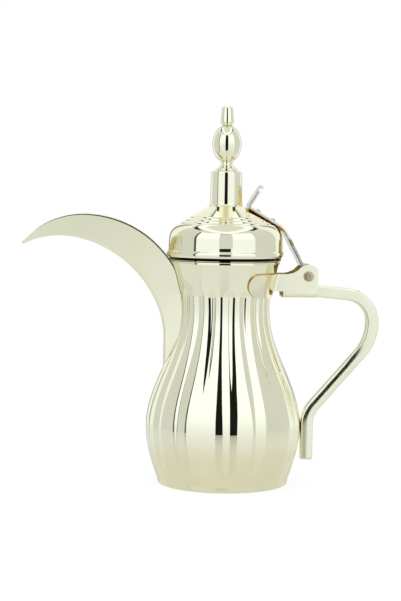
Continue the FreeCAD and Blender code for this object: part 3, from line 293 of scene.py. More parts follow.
def vessel_wall():
    """Outer skin from the seam to the mouth and inner skin back down, open at the spout's port."""
    rises = 150
    steps = 16
    heights = [base_seam + (body_top - base_seam) * rise / rises for rise in range(rises + 1)]
    angles = []
    for lobe in range(lobe_count):
        for step in range(steps):
            side = math.sin(math.pi / 2 * (2 * step / steps - 1))
            angles.append((lobe + side / 2) * 360 / lobe_count)
    points = []
    skins = [(height, 0.0) for height in heights]
    skins += [(height, wall) for height in reversed(heights)]
    for height, depth in skins:
        for angle in angles:
            across = math.cos(math.radians(angle))
            aside = math.sin(math.radians(angle))
            radius = body_surface(angle, height) - depth
            radius += planished(across * radius, aside * radius, height)
            points.append((across * radius, aside * radius, height))
    places = len(angles)
    in_port = [abs(angle - 180) < port_half_angle for angle in angles]
    level_in_port = [port_low < height < port_high for height in heights]
    level_in_port += level_in_port[::-1]
    faces = []
    for face in grid_faces(len(level_in_port), places, True, True):
        corners = [(corner // places, corner % places) for corner in face]
        if not all(level_in_port[level] and in_port[place] for level, place in corners):
            faces.append(face)
    top = len(heights) * 2 - 1
    port_levels = [level for level in range(len(heights)) if level_in_port[level]]
    port_places = [place for place in range(places) if in_port[place]]
    for low, high in zip(port_levels, port_levels[1:]):
        for place in (port_places[0], port_places[-1]):
            faces.append([level * places + place for level in (low, high, top - high, top - low)])
    for place, beside in zip(port_places, port_places[1:]):
        for level in (port_levels[0], port_levels[-1]):
            inner = top - level
            faces.append((level * places + place, level * places + beside,
                          inner * places + beside, inner * places + place))
    return make_piece("vessel_wall", points, faces, crease=60)


vessel_gold = metal_finish("vessel_gold")
vessel = vessel_wall()
vessel.data.materials.append(vessel_gold)
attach(vessel, "pot")
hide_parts("vessel_body")

# Base
# A pressed brass dish that closes the bottom, with a rolled lower corner and a flat underside.
# It is soldered to the wall's lower edge, and only a low band of it shows.
base_corner = 2.2


def bent_line(corners, closed=False, turn=4.0, run=1.0):
    """Points along straight runs between corners (across, up, bend radius), close enough for a mirror."""
    spots = []
    count = len(corners)
    for index, corner in enumerate(corners):
        spot = Vector(corner[:2])
        bend = corner[2] if len(corner) > 2 else 0.0
        if bend == 0 or (not closed and index in (0, count - 1)):
            spots.append([spot])
            continue
        before = (Vector(corners[index - 1][:2]) - spot).normalized()
        after = (Vector(corners[(index + 1) % count][:2]) - spot).normalized()
        half = before.angle(after) / 2
        centre = spot + (before + after).normalized() * bend / math.sin(half)
        start = spot + before * bend / math.tan(half) - centre
        swing = math.copysign(math.pi - 2 * half, after.cross(before))
        steps = max(2, math.ceil(math.degrees(abs(swing)) / turn))
        spots.append([centre + Matrix.Rotation(swing * step / steps, 2) @ start for step in range(steps + 1)])
    points = []
    for index, arc in enumerate(spots):
        points += arc
        if index == count - 1 and not closed:
            break
        following = spots[(index + 1) % count][0]
        steps = math.ceil((following - arc[-1]).length / run)
        points += [arc[-1].lerp(following, step / steps) for step in range(1, steps)]
    return points


def turned(name, profile, closed=False, steps=144, crease=35):
    """A piece turned about the upright axis from profile points (radius, height)."""
    points = []
    for radius, height in profile:
        for step in range(steps):
            angle = 2 * math.pi * step / steps
            points.append((radius * math.cos(angle), radius * math.sin(angle), height))
    return make_piece(name, points, grid_faces(len(profile), steps, True, closed), crease)


base_side = body_radius(base_corner)
base_edge = body_radius(base_seam)
base = turned("base_dish", bent_line([
    (0, 0), (base_side, 0, base_corner), (base_edge, base_seam),
    (base_edge - wall, base_seam), (base_side - wall, wall, base_corner - wall), (0, wall)]))
base_gold = metal_finish("base_gold", deep=(0.84, 0.74, 0.44), lines=(700, 700, 700), haze=0.06, scratch=0.04)
base.data.materials.append(base_gold)
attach(base, "pot")
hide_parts("vessel_base")

# Mouth ring
# A round-topped brass bead soldered on the mouth's edge, where the lid's flange comes to rest. It
# stiffens the thin wall and is plated together with it.
ring_height = 1.8
ring_half = 0.9
ring_middle = mouth_radius - wall / 2
ring_top = body_top + ring_height
ring = turned("mouth_bead", bent_line([
    (ring_middle - ring_half, body_top), (ring_middle + ring_half, body_top),
    (ring_middle + ring_half, ring_top, ring_half * 0.98),
    (ring_middle - ring_half, ring_top, ring_half * 0.98)], closed=True, turn=10))
ring_gold = metal_finish("ring_gold", deep=(0.82, 0.7, 0.4), lines=(60, 60, 2500), haze=0.08)
ring.data.materials.append(ring_gold)
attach(ring, "pot")
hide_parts("mouth_ring")

# Spout
# A brass sheet cut to a crescent, folded along its keel into a trough that is open on top, and
# soldered to the wall over the port. Its lips are rolled a little, and they and the inside are left satin.
spout_sheet = 1.0
spout_foot = 76.0
spout_root_reach = 42.5
spout_root_top = 103.0
spout_keel_reach = 114.1
spout_keel_top = 171.0
spout_keel_curve = 1.85
spout_lip_reach = 97.6
spout_lip_top = 186.0
spout_reach = 140.3
spout_tip = 166.1
spout_tip_depth = 1.4
spout_half_width = 9.3
spout_tip_half_width = 0.8
spout_fold = 3.0
spout_tip_fold = 0.5
spout_foot_lean = 0.4
spout_foot_width = 0.65
spout_first_place = 0.28
spout_turn_place = 4
spout_last_place = 12
tip_fill_start = 10.9
tip_fill_run = 0.7
lip_roll = 0.3
solder_overlap = 0.3
lip_root = (mouth_radius, body_top + ring_height / 2)
keel_start = spout_root_reach + 1.4 * spout_half_width


def arc_height(reach, top_reach, top, end_reach, end):
    """Height on the circle that is level at its top and passes through an end."""
    across = end_reach - top_reach
    drop = top - end
    radius = (across ** 2 + drop ** 2) / (2 * drop)
    return top - radius + math.sqrt(radius ** 2 - (reach - top_reach) ** 2)


def lip_height(reach):
    """Height of the open lips, on two circles that meet at the top."""
    end = lip_root if reach < spout_lip_reach else (spout_reach, spout_tip)
    return arc_height(reach, spout_lip_reach, spout_lip_top, *end)


def keel_height(reach):
    """Height of the folded keel: a steep climb from the root, then a circle down to the tip."""
    if reach > spout_keel_reach:
        return arc_height(reach, spout_keel_reach, spout_keel_top, spout_reach, spout_tip - spout_tip_depth)
    across = (spout_keel_reach - reach) / (spout_keel_reach - spout_root_reach)
    climb = (1 - across ** spout_keel_curve) ** (1 / spout_keel_curve)
    return spout_root_top + (spout_keel_top - spout_root_top) * climb


def spout_station(place):
    """Keel, lip, half width and fold: the first places climb the wall, the others run out to the tip."""
    rise_end = keel_height(keel_start)
    if place < spout_turn_place:
        share = place / spout_turn_place
        height = spout_foot + (rise_end - spout_foot) * share
        reach = spout_root_reach
        if height > spout_root_top:
            climb = (height - spout_root_top) / (spout_keel_top - spout_root_top)
            across = (1 - climb ** spout_keel_curve) ** (1 / spout_keel_curve)
            reach = spout_keel_reach - (spout_keel_reach - spout_root_reach) * across
        lean = (lip_root[1] - rise_end) * (spout_foot_lean + spout_foot_lean * share)
        width = spout_foot_width + (1 - spout_foot_width) * share
        return Vector((reach, height, waist_radius - 4 * spout_sheet, height + lean,
                       spout_half_width * width, spout_fold))
    share = (place - spout_turn_place) / (spout_last_place - spout_turn_place)
    keel = keel_start + (spout_reach - keel_start) * share
    lip = lip_root[0] + (spout_reach - lip_root[0]) * share
    depth = math.hypot(keel - lip, lip_height(lip) - keel_height(keel))
    root_depth = math.hypot(keel_start - lip_root[0], lip_root[1] - rise_end)
    return Vector((keel, keel_height(keel), lip, lip_height(lip),
                   max(spout_half_width * depth / root_depth, spout_tip_half_width),
                   spout_fold + (spout_tip_fold - spout_fold) * share))


def spout_frame(place):
    """Stations joined by a smooth curve through them."""
    start = min(int(place), spout_last_place - 1)
    share = place - start
    before, first, second, after = [
        spout_station(min(max(start + step, 0), spout_last_place)) for step in (-1, 0, 1, 2)]
    slope = (second - before) * 0.5
    bend = before - first * 2.5 + second * 2 - after * 0.5
    twist = (first - second) * 1.5 + (after - before) * 0.5
    return first + slope * share + bend * share ** 2 + twist * share ** 3


def trough_side(station, sheet, amount):
    """A point of half the section, from the keel at 0 to the lip at 1, drawn in by a sheet."""
    keel = Vector((-station[0], 0, station[1]))
    lip = Vector((-station[2], 0, station[3]))
    half_width = station[4]
    fold = station[5]
    depth = (lip - keel).length
    up = (lip - keel).normalized()
    touch = math.atan2(depth - fold, half_width) - math.acos(fold / math.hypot(half_width, depth - fold))
    radius = max(fold - sheet, spout_tip_fold / 2)
    middle = sheet + radius
    fold_share = 0.35
    turn = -math.pi / 2 + (touch + math.pi / 2) * min(amount / fold_share, 1.0)
    across = radius * math.cos(turn)
    rise = middle + radius * math.sin(turn)
    if amount > fold_share:
        run = (amount - fold_share) / (1 - fold_share) * (depth - rise) / math.cos(touch)
        across -= math.sin(touch) * run
        rise += math.cos(touch) * run
    return keel + up * rise + Vector((0, across, 0))


def held_clear(station, sheet):
    """Share of the half section that stands outside the wall, with a small overlap for the solder."""
    low = 0.0
    high = 1.0
    for halving in range(18):
        middle = (low + high) / 2
        x, y, z = trough_side(station, sheet, middle)
        angle = math.degrees(math.atan2(y, x))
        if math.hypot(x, y) > body_surface(angle, z) - solder_overlap:
            low = middle
        else:
            high = middle
    return high


def spout_trough():
    """Outside from lip to lip, rolled edge, inside back again, from the foot to the tip."""
    stations = 132
    steps = 26
    roll = 11
    rows = []
    for number in range(stations + 1):
        place = spout_first_place + (spout_last_place - spout_first_place) * number / stations
        station = spout_frame(place)
        filled = eased((place - tip_fill_start) / tip_fill_run)
        outside = held_clear(station, 0.0)
        inside = held_clear(station, spout_sheet)
        outer = [trough_side(station, 0.0, outside * step / steps) for step in range(steps + 1)]
        inner = [trough_side(station, spout_sheet, inside * step / steps) for step in range(steps + 1)]
        top = inner[-1].copy()
        top.y = max(top.y, 0.0)
        inner = [spot.lerp(top * (step / steps) + Vector((top.x, 0, top.z)) * (1 - step / steps), filled)
                 for step, spot in enumerate(inner)]
        rim = outer[-1] - inner[-1]
        up = Vector((station[0] - station[2], 0, station[3] - station[1])).normalized()
        lift = up * min(rim.length, 1) * lip_roll
        half = outer[:]
        for step in range(1, roll):
            turn = math.pi * step / roll
            half.append(outer[-1] - rim * (1 - math.cos(turn)) / 2 + lift * math.sin(turn))
        half += inner[::-1]
        rows.append(half + [Vector((x, -y, z)) for x, y, z in half[-2:0:-1]])
    points = [spot for row in rows for spot in row]
    faces = grid_faces(len(rows), len(rows[0]), True)
    faces.append(list(range(len(rows[0]))))
    faces.append(list(range(len(points) - len(rows[0]), len(points))))
    return make_piece("spout_trough", points, faces, crease=50)


spout = spout_trough()
spout_gold = metal_finish("spout_gold", lines=(300, 900, 300), smooth=0.16, haze=0.06)
spout_satin = metal_finish("spout_satin", pale=(0.88, 0.8, 0.54), deep=(0.76, 0.62, 0.32),
                           lines=(300, 900, 300), smooth=0.45, haze=0.15)
spout.data.materials.append(spout_gold)
spout.data.materials.append(spout_satin)
facing_up = 0.02
for face in spout.data.polygons:
    inside = face.center.y * face.normal.y < 0
    if inside or face.normal.z > facing_up:
        face.material_index = 1
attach(spout, "pot")
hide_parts("spout_shell")

# Strainer
# A punched strip of bright steel that follows the neck inside, over the port, and keeps grounds and
# cardamom back. It lies on the ridges between the lobes and is not plated.
def refinish(node, finish):
    """Gives a carried-over solid its finish."""
    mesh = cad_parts[node].data
    mesh.materials.clear()
    mesh.materials.append(finish)


drawn_steel = metal_finish("drawn_steel", pale=(0.66, 0.65, 0.62), deep=(0.48, 0.46, 0.42), patch=90.0,
                           lines=(1500, 1500, 40), smooth=0.22, haze=0.2, scratch=0.15)
refinish("spout_strainer", drawn_steel)

# Hinge bracket
# A brass sheet cut to shape and bent: two arms lie round the neck, two cheeks stand off it and carry
# the hinge pin, and a floor joins the cheeks under the handle's end. It is soldered to the neck.
hinge_reach = 56.9
hinge_height = 145.0
bracket_sheet = 1.5
bracket_end = 63.5
bracket_floor = 130.2
bracket_fold = 3.0
bracket_crown = 8.1
floor_start = 39.5
arm_notch = 134.6
arm_high = 146.4
arm_end = 13.5
arm_bend = 1.2
cheek_face = 11.3
clearance = 0.05
saddle_back = 0.835
saddle_up = 0.55
softened_edge = 0.25
arm_round = (arm_high - bracket_floor) / 2
saddle = (hinge_reach - bracket_crown * saddle_back, hinge_height + bracket_crown * saddle_up)
sweep_start = saddle[0] - bracket_crown


def cheek_top(reach):
    """Upper edge of a cheek: level by the neck, a sweep up, then the round crown over the pin."""
    if reach < sweep_start:
        return arm_high
    if reach > saddle[0]:
        return hinge_height + math.sqrt(bracket_crown ** 2 - (reach - hinge_reach) ** 2)
    radius = bracket_crown * 2
    start = Vector((sweep_start, arm_high))
    chord = Vector(saddle) - start
    centre = start + chord / 2 + Vector((-chord.y, chord.x)).normalized() * math.sqrt(
        radius ** 2 - chord.length_squared / 4)
    return centre.y - math.sqrt(radius ** 2 - (reach - centre.x) ** 2)


def arm_place(column, columns, height):
    """Plan place on the outer face, from the arm's tip at column 0 round the neck and along the cheek."""
    tip, hug, bend, run = columns
    radius = body_radius(height) + clearance + bracket_sheet
    aside = cheek_face + arm_bend
    centre = math.sqrt((radius + arm_bend) ** 2 - aside ** 2)
    meet = math.atan2(aside, centre)
    start = math.acos((arm_end + arm_round) / radius)
    if column <= tip:
        x = arm_end + arm_round * (1 - math.cos(math.pi / 2 * column / tip))
        return x, math.sqrt(radius ** 2 - x ** 2)
    if column <= tip + hug:
        angle = start + (meet - start) * (column - tip) / hug
        return radius * math.cos(angle), radius * math.sin(angle)
    if column <= tip + hug + bend:
        angle = meet + math.pi + (math.pi / 2 - meet) * (column - tip - hug) / bend
        return centre + arm_bend * math.cos(angle), aside + arm_bend * math.sin(angle)
    share = (column - tip - hug - bend) / run
    return centre + (floor_start - centre) * share, cheek_face


def bracket_sheet_metal():
    """One half as a sheet, mirrored across the pot, then given its thickness and softened edges."""
    columns = (12, 18, 6, 4)
    rises = 16
    cheek_steps = 36
    points = []
    faces = []
    rows = []
    tip, hug, bend, run = columns
    for column in range(sum(columns) + 1):
        opened = math.sin(math.pi / 2 * min(column / tip, 1.0))
        step_up = eased((column - tip - hug) / bend)
        low = bracket_floor + arm_round * (1 - opened) + (arm_notch - bracket_floor) * step_up
        high = arm_high - arm_round * (1 - opened)
        row = []
        for rise in range(rises + 1):
            height = low + (high - low) * rise / rises
            row.append((*arm_place(column, columns, height), height))
        rows.append(row)
    for step in range(1, cheek_steps + 1):
        reach = floor_start + (bracket_end - floor_start) * step / cheek_steps
        rows.append([(reach, cheek_face, arm_notch + (cheek_top(reach) - arm_notch) * rise / rises)
                     for rise in range(rises + 1)])
    for mirror in (1, -1):
        first = len(points)
        points += [(x, y * mirror, z) for row in rows for x, y, z in row]
        for face in grid_faces(len(rows), rises + 1):
            faces.append([first + corner for corner in face][::mirror])
    fold = bent_line([(cheek_face, arm_notch), (cheek_face, bracket_floor, bracket_fold),
                      (-cheek_face, bracket_floor, bracket_fold), (-cheek_face, arm_notch)], turn=9)
    first = len(points)
    for step in range(cheek_steps + 1):
        reach = floor_start + (bracket_end - floor_start) * step / cheek_steps
        points += [(reach, y, z) for y, z in fold]
    faces += [[first + corner for corner in face] for face in grid_faces(cheek_steps + 1, len(fold))]
    return make_piece("bent_bracket", points, faces, crease=60)


bracket = bracket_sheet_metal()
thickness = bracket.modifiers.new("sheet", "SOLIDIFY")
thickness.thickness = bracket_sheet * 0.001
thickness.offset = -1
thickness.use_even_offset = True
thickness.material_offset_rim = 1
thickness.material_offset = 2
edges = bracket.modifiers.new("softened_edges", "BEVEL")
edges.width = softened_edge * 0.001
edges.segments = 2
edges.limit_method = "ANGLE"
edges.angle_limit = math.radians(50)
edges.harden_normals = True
bracket_gold = metal_finish("bracket_gold", deep=(0.82, 0.7, 0.4), lines=(120, 800, 800),
                            smooth=0.1, haze=0.05, scratch=0.03)
cut_edge_gold = metal_finish("cut_edge_gold", pale=(0.72, 0.54, 0.17), deep=(0.46, 0.31, 0.06),
                             lines=(900, 900, 900), smooth=0.45, haze=0.15)
# Painted reflected light: an amber, rougher copy of the gold on the inner faces, where gold light bounces
# between the parts.
bracket_inside_painted_glow = metal_finish("bracket_inside_painted_glow", pale=(0.8, 0.66, 0.3), deep=(0.62, 0.44, 0.14),
                              smooth=0.5, haze=0.15)
for plate in (bracket_gold, cut_edge_gold, bracket_inside_painted_glow):
    bracket.data.materials.append(plate)
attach(bracket, "pot")
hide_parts("hinge_bracket")

# Hinge pin
# A brass rivet through both cheeks and the lid strap's eye, hammered to a low head on either side
# with the punch's dimple in its middle.
pin_radius = 2.0
pin_head = 3.6
pin_head_height = 1.4
pin_head_rim = 0.35
dimple_depth = 0.55
dimple_floor = 0.75
dimple_edge = 1.15
pin_seat = cheek_face + clearance
pin_end = pin_seat + pin_head_height
half_pin = bent_line([
    (0, pin_end - dimple_depth, 0), (dimple_floor, pin_end - 0.5, 0.3), (dimple_edge, pin_end, 0.4),
    (pin_head, pin_end - 0.15, 0.7), (pin_head, pin_seat, 0.15), (pin_radius, pin_seat), (pin_radius, 0)],
    turn=9, run=0.6)
pin_profile = [Vector((radius, -height)) for radius, height in half_pin] + half_pin[-2::-1]
pin = turned("hinge_rivet", pin_profile, steps=64)
across_at_hinge = Matrix.Translation((hinge_reach * 0.001, 0, hinge_height * 0.001))
across_at_hinge = across_at_hinge @ Matrix.Rotation(math.pi / 2, 4, "X")
pin.data.transform(across_at_hinge)
pin_gold = metal_finish("pin_gold", pale=(0.6, 0.53, 0.36), deep=(0.4, 0.3, 0.14), lines=(600, 600, 600),
                        smooth=0.3, haze=0.15, scratch=0.06)
pin.data.materials.append(pin_gold)
pin.data.materials.append(cut_edge_gold)
for face in pin.data.polygons:
    across = math.hypot(face.center.x * 1000 - hinge_reach, face.center.z * 1000 - hinge_height)
    if across > pin_head - pin_head_rim:
        face.material_index = 1
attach(pin, "pot")
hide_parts("hinge_pin")

# Handle
# A brass tube of rounded, slightly crowned section, bent into an open loop from the bracket down to
# the belly. A tenon from the bracket's channel holds its upper end, a soldered plug closes the foot.
handle_thick = 9.0
handle_wide = 11.0
handle_level = 134.6
handle_fall = math.radians(5.5)
handle_reach = 103.4
handle_foot_reach = 58.6
handle_slant = math.radians(41)
handle_foot = 16.6
top_bend = 19.8
back_bend = 33.0
foot_bend = 20.0
foot_round = 0.9
flat_crown = 0.6
foot_crown = 8
slant_crown = 12
crown_lead = 6
crown_onset = 24
foot_flat = 22
foot_ease = 20
handle_start = bracket_end + 0.1
top_corner = handle_level - (handle_reach - handle_start) * math.tan(handle_fall)
top_turn = math.pi / 2 - handle_fall
back_corner = top_corner - top_bend * math.tan(top_turn / 2) - back_bend * math.tan(handle_slant / 2)
foot_corner = back_corner - (handle_reach - handle_foot_reach) / math.tan(handle_slant)


def swept(name, path, section, crease=35):
    """A bar along path points (reach, height); section(gone, left) gives its (outward, aside) places."""
    gone = 0.0
    lengths = [0.0]
    for before, after in zip(path, path[1:]):
        gone += (after - before).length
        lengths.append(gone)
    rows = []
    for index, spot in enumerate(path):
        way = path[min(index + 1, len(path) - 1)] - path[max(index - 1, 0)]
        outward = Vector((way.y, -way.x)).normalized()
        rows.append([(spot.x - outward.x * out, aside, spot.y - outward.y * out)
                     for out, aside in section(lengths[index], gone - lengths[index])])
    points = [place for row in rows for place in row]
    size = len(rows[0])
    faces = grid_faces(len(rows), size, True)
    faces.append(list(range(size)))
    faces.append(list(range(len(points) - size, len(points))))
    return make_piece(name, points, faces, crease)


def crowned_quarter(crown):
    """Quarter of the section, places with their normals: a crowned front, a round corner, a flatter side."""
    corner = 1.2
    corner_end = 81
    side = 25.0
    crown_sine = math.sin(math.radians(crown))
    corner_sine = math.sin(math.radians(corner_end))
    front = (handle_thick / 2 - corner * (corner_sine - crown_sine) - side * (1 - corner_sine)) / crown_sine
    arcs = ((front, 0, crown, 10), (corner, crown, corner_end, 10), (side, corner_end, 90, 5))
    out = 0.0
    aside = handle_wide / 2
    places = [(out, aside, 0.0)]
    for radius, start, end, steps in arcs:
        for step in range(steps):
            before = math.radians(start + (end - start) * step / steps)
            after = math.radians(start + (end - start) * (step + 1) / steps)
            out += radius * (math.sin(after) - math.sin(before))
            aside += radius * (math.cos(after) - math.cos(before))
            places.append((out, aside, after))
    return places


slant_start = handle_reach - top_bend - handle_start + top_bend * top_turn + back_bend * handle_slant


def handle_section(gone, left):
    """Flat-faced to the back bend, crowned most along the slant and rounded over the foot's very end."""
    drawn_in = foot_round - math.sqrt(foot_round ** 2 - (foot_round - min(left, foot_round)) ** 2)
    crown = foot_crown + slant_crown * eased((left - foot_flat) / foot_ease)
    crown = flat_crown + crown * eased((gone - slant_start + crown_lead) / crown_onset)
    quarter = [(out - math.sin(turn) * drawn_in, aside - math.cos(turn) * drawn_in)
               for out, aside, turn in crowned_quarter(crown)]
    half = quarter + [(out, -aside) for out, aside in quarter[::-1]]
    return half + [(-out, aside) for out, aside in half[-2:0:-1]]


handle_path = bent_line([
    (handle_start, handle_level), (handle_start + 0.6, handle_level), (handle_reach, top_corner, top_bend),
    (handle_reach, back_corner, back_bend), (handle_foot_reach, foot_corner, foot_bend),
    (handle_foot_reach, handle_foot + 1.0), (handle_foot_reach, handle_foot)], turn=2)
handle_path[-1:] = [handle_path[-1] + Vector((0, foot_round * share)) for share in (0.7, 0.4, 0.2, 0.08, 0)]
handle = swept("handle_bar", handle_path, handle_section)
handle_gold = metal_finish("handle_gold", lines=(200, 900, 200), smooth=0.13, haze=0.1, scratch=0.04)
handle.data.materials.append(handle_gold)
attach(handle, "pot")
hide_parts("handle_tube", "handle_end_plug")
tenon_gold = metal_finish("tenon_gold", deep=(0.74, 0.6, 0.32), lines=(150, 900, 900), smooth=0.1, haze=0.15)
refinish("handle_tenon", tenon_gold)

# Lid
# A brass dome spun on a lathe: a rolled bead at its edge, an upright wall, a round shoulder, a cone
# with three shallow rings and a straight tower that carries the finial.
lid_edge = 157.6
lid_radius = 40.0
lid_bead = 2.2
lid_bead_lip = 0.75
shoulder_radius = 39.2
shoulder_height = 176.9
shoulder_bend = 12.0
cone_angle = math.radians(30.3)
cone_slope = math.tan(cone_angle)
cone_rings = (32.8, 29.4, 26.0)
ring_half_width = 0.8
ring_depth = 0.3
tower_radius = 11.3
tower_top_radius = 10.8
tower_top = 217.0
tower_foot_bend = 3.0
tower_top_bend = 2.0
stud_hole = 2.1
# Painted shade and reflection: amber laid on the cone under the strap, where the strap's shadow and mirrored
# underside fall.
cone_painted_shade = ((0.78, 0.44, 0.1), (27, 0, 187), (13, 11, 9), 0.6)


def cone_height(radius):
    """Height of the cone's outside, without its rings."""
    return shoulder_height + (shoulder_radius - radius) * cone_slope


def bead_profile():
    """The bead's round, from the lid's edge up to the wall."""
    round_radius = lid_bead_lip / 2 + lid_bead ** 2 / (2 * lid_bead_lip)
    middle = lid_radius + lid_bead_lip - round_radius
    swing = math.asin(lid_bead / round_radius)
    steps = 14
    turns = [swing * (2 * step / steps - 1) for step in range(steps + 1)]
    level = lid_edge + lid_bead
    return [Vector((middle + round_radius * math.cos(turn), level + round_radius * math.sin(turn)))
            for turn in turns]


def pressed_rings(profile):
    """Lowers the cone's points along three shallow rings."""
    for spot in profile:
        for ring_radius in cone_rings:
            off = abs(spot.x - ring_radius) / ring_half_width
            if off < 1:
                spot.y -= ring_depth * (0.5 + 0.5 * math.cos(math.pi * off))
    return profile


lid_outside = bead_profile() + pressed_rings(bent_line([
    (lid_radius, lid_edge + 2 * lid_bead), (shoulder_radius, shoulder_height, shoulder_bend),
    (tower_radius, cone_height(tower_radius), tower_foot_bend), (tower_top_radius, tower_top, tower_top_bend),
    (stud_hole, tower_top)], turn=3, run=0.2))[1:]
under = wall / math.cos(cone_angle)
lid_inside = bent_line([
    (stud_hole, tower_top - wall), (tower_top_radius - wall, tower_top - wall),
    (tower_radius - wall, cone_height(tower_radius - wall) - under),
    (shoulder_radius - wall, cone_height(shoulder_radius - wall) - under, shoulder_bend - wall),
    (lid_radius - wall, lid_edge)], turn=6, run=2.0)
lid = turned("spun_lid", lid_outside + lid_inside, closed=True, steps=192)
lid_gold = metal_finish("lid_gold", lines=(60, 60, 2500), haze=0.04, scratch=0.015, shades_and_stains=[cone_painted_shade])
lid.data.materials.append(lid_gold)
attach(lid, "lid")
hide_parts("lid_shell")

# Lid skirt
# A turned brass sleeve under the lid that drops into the mouth; its flange rests on the mouth ring
# and its collar is soldered inside the lid's edge. The band in the gap over the mouth is painted black as
# shade.
# Painted shade: near black laid on the band of the skirt that shows in the gap over the mouth.
gap_painted_shade = ((0.004, 0.004, 0.003), (0, 0, 157.7), (60, 60, 2.1), 0.1)
skirt_gold = metal_finish("skirt_gold", deep=(0.78, 0.66, 0.4), lines=(60, 60, 2500),
                          smooth=0.06, haze=0.12, shades_and_stains=[gap_painted_shade])
refinish("lid_skirt", skirt_gold)

# Lid strap
# A flat brass bar hooked round the hinge pin, bent over the lid's shoulder, riveted down the cone and
# turned up at its end into a thumb tab with rounded corners. Where it lies on the cone, amber shade and
# reflection are painted on it.
strap_sheet = 2.2
strap_width = 19.0
strap_eye = 4.4
strap_bend = 14.0
strap_overhang = 0.4
tab_start = 13.8
tab_slope = math.radians(58)
tab_length = 18.6
tab_round = 5.0
tab_bend = 1.0
strap_sunk = 0.1
# Darker along the strap's near edge over its lower run, by the hinge.
strap_edge_darkening = ((0.38, 0.34, 0.25), (53, -9.5, 145), (16, 2, 20), 9)
brown_mark = ((0.4, 0.3, 0.13), (45, -9.5, 168.3), (2, 1.2, 2.4), 1.2)
slope_cos = math.cos(cone_angle)
strap_middle_rise = (strap_sheet / 2 - strap_sunk) / slope_cos


def strap_section(gone, left):
    """A flat bar with softened edges whose end is rounded off in plan."""
    half_width = strap_width / 2
    if left < tab_round:
        half_width -= tab_round - math.sqrt(tab_round ** 2 - (tab_round - left) ** 2)
    edge = min(0.2, half_width * 0.9)
    half = strap_sheet / 2
    middle = 0.3
    return bent_line([(half, -half_width, edge), (half, half_width, edge), (middle, half_width),
                      (-half, half_width, edge), (-half, -half_width, edge), (middle, -half_width)],
                     closed=True, turn=22.5, run=50)


bend_reach = shoulder_radius + strap_overhang
bend_height = cone_height(bend_reach) + strap_middle_rise
tab_foot = Vector((tab_start, cone_height(tab_start) + clearance / slope_cos))
tab_way = Vector((math.cos(tab_slope), math.sin(tab_slope)))
tab_middle = tab_foot + Vector((tab_way.y, -tab_way.x)) * strap_sheet / 2
strap_at_axis = cone_height(0) + strap_middle_rise
to_corner = (strap_at_axis - tab_middle.y - tab_middle.x * cone_slope) / (tab_way.y + tab_way.x * cone_slope)
tab_corner = tab_middle + tab_way * to_corner
tab_end = tab_middle + tab_way * tab_length
strap_path = bent_line([
    (hinge_reach, hinge_height), (bend_reach, bend_height, strap_bend + strap_sheet / 2),
    (*tab_corner, tab_bend + strap_sheet / 2), tuple(tab_end)], turn=3, run=0.8)
strap = swept("lid_strap_bar", strap_path, strap_section)
strap_gold = metal_finish("strap_gold", deep=(0.82, 0.7, 0.4), lines=(300, 900, 300),
                          smooth=0.24, haze=0.1, scratch=0.03, shades_and_stains=[strap_edge_darkening, brown_mark])
strap_painted_shade = metal_finish("strap_painted_shade", pale=(0.8, 0.4, 0.06), deep=(0.5, 0.2, 0.03), smooth=0.5, haze=0.15)
# Painted sheen and shade: a darker copy of the strap's gold with a bluish edge tint, for the faces turned
# toward the spout.
strap_painted_sheen = metal_finish("strap_painted_sheen", pale=(0.8, 0.68, 0.4), deep=(0.7, 0.54, 0.26),
                           smooth=0.2, haze=0.1, edge_tint=(0.8, 0.86, 1.0))
for plate in (strap_gold, strap_painted_shade, strap_painted_sheen):
    strap.data.materials.append(plate)
# Painted shade and reflection: the strap's faces close over the cone take the amber finish.
painted_shade_start = tab_start + 2
painted_shade_depth = 0.3
for face in strap.data.polygons:
    reach, aside, height = face.center * 1000
    above_cone = (height - cone_height(reach)) * slope_cos
    faces_spout = face.normal.x < -0.35 and abs(face.normal.y) < 0.5
    if painted_shade_start < reach < shoulder_radius and above_cone < painted_shade_depth:
        face.material_index = 1
    elif faces_spout:
        face.material_index = 2
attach(strap, "lid")
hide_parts("lid_strap")
eye_hole = pin_radius + clearance
eye_end = strap_width / 2
eye_edge = 0.4
eye = turned("strap_eye", bent_line([
    (eye_hole, -eye_end), (strap_eye, -eye_end, eye_edge), (strap_eye, eye_end, eye_edge),
    (eye_hole, eye_end)], closed=True, turn=22.5), closed=True, steps=64)
eye.data.transform(across_at_hinge)
eye.data.materials.append(strap_gold)
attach(eye, "lid")
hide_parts("lid_strap")

# Strap rivets
# Two brass rivets with low round heads that hold the strap down on the cone; inside the lid their
# tails are closed over small steel burrs.
rivet_reaches = (22.4, 32.8)
rivet_head = 2.3
rivet_head_height = 1.2
rivet_shank = 1.4
rivet_tail = -3.6
dome_steps = 12
rivet_round = (rivet_head ** 2 + rivet_head_height ** 2) / (2 * rivet_head_height)
rivet_swing = math.asin(rivet_head / rivet_round)
rivet_gold = metal_finish("rivet_gold", pale=(0.5, 0.42, 0.33), deep=(0.34, 0.24, 0.15),
                          lines=(600, 600, 600), smooth=0.25, haze=0.1)
for number, reach in enumerate(rivet_reaches, 1):
    dome = [Vector((0, rivet_tail)), Vector((rivet_shank, rivet_tail)), Vector((rivet_shank, 0)),
            Vector((rivet_head, 0))]
    for step in range(1, dome_steps + 1):
        turn = rivet_swing * (1 - step / dome_steps)
        dome.append(Vector((rivet_round * math.sin(turn),
                            rivet_head_height - rivet_round * (1 - math.cos(turn)))))
    rivet = turned(f"strap_rivet_{number}", dome, steps=40)
    seat = Vector((reach, 0, cone_height(reach) + (clearance + strap_sheet) / slope_cos)) * 0.001
    rivet.data.transform(Matrix.Translation(seat) @ Matrix.Rotation(cone_angle, 4, "Y"))
    rivet.data.materials.append(rivet_gold)
    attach(rivet, "lid")
    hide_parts("strap_rivets")
refinish("rivet_burrs", drawn_steel)

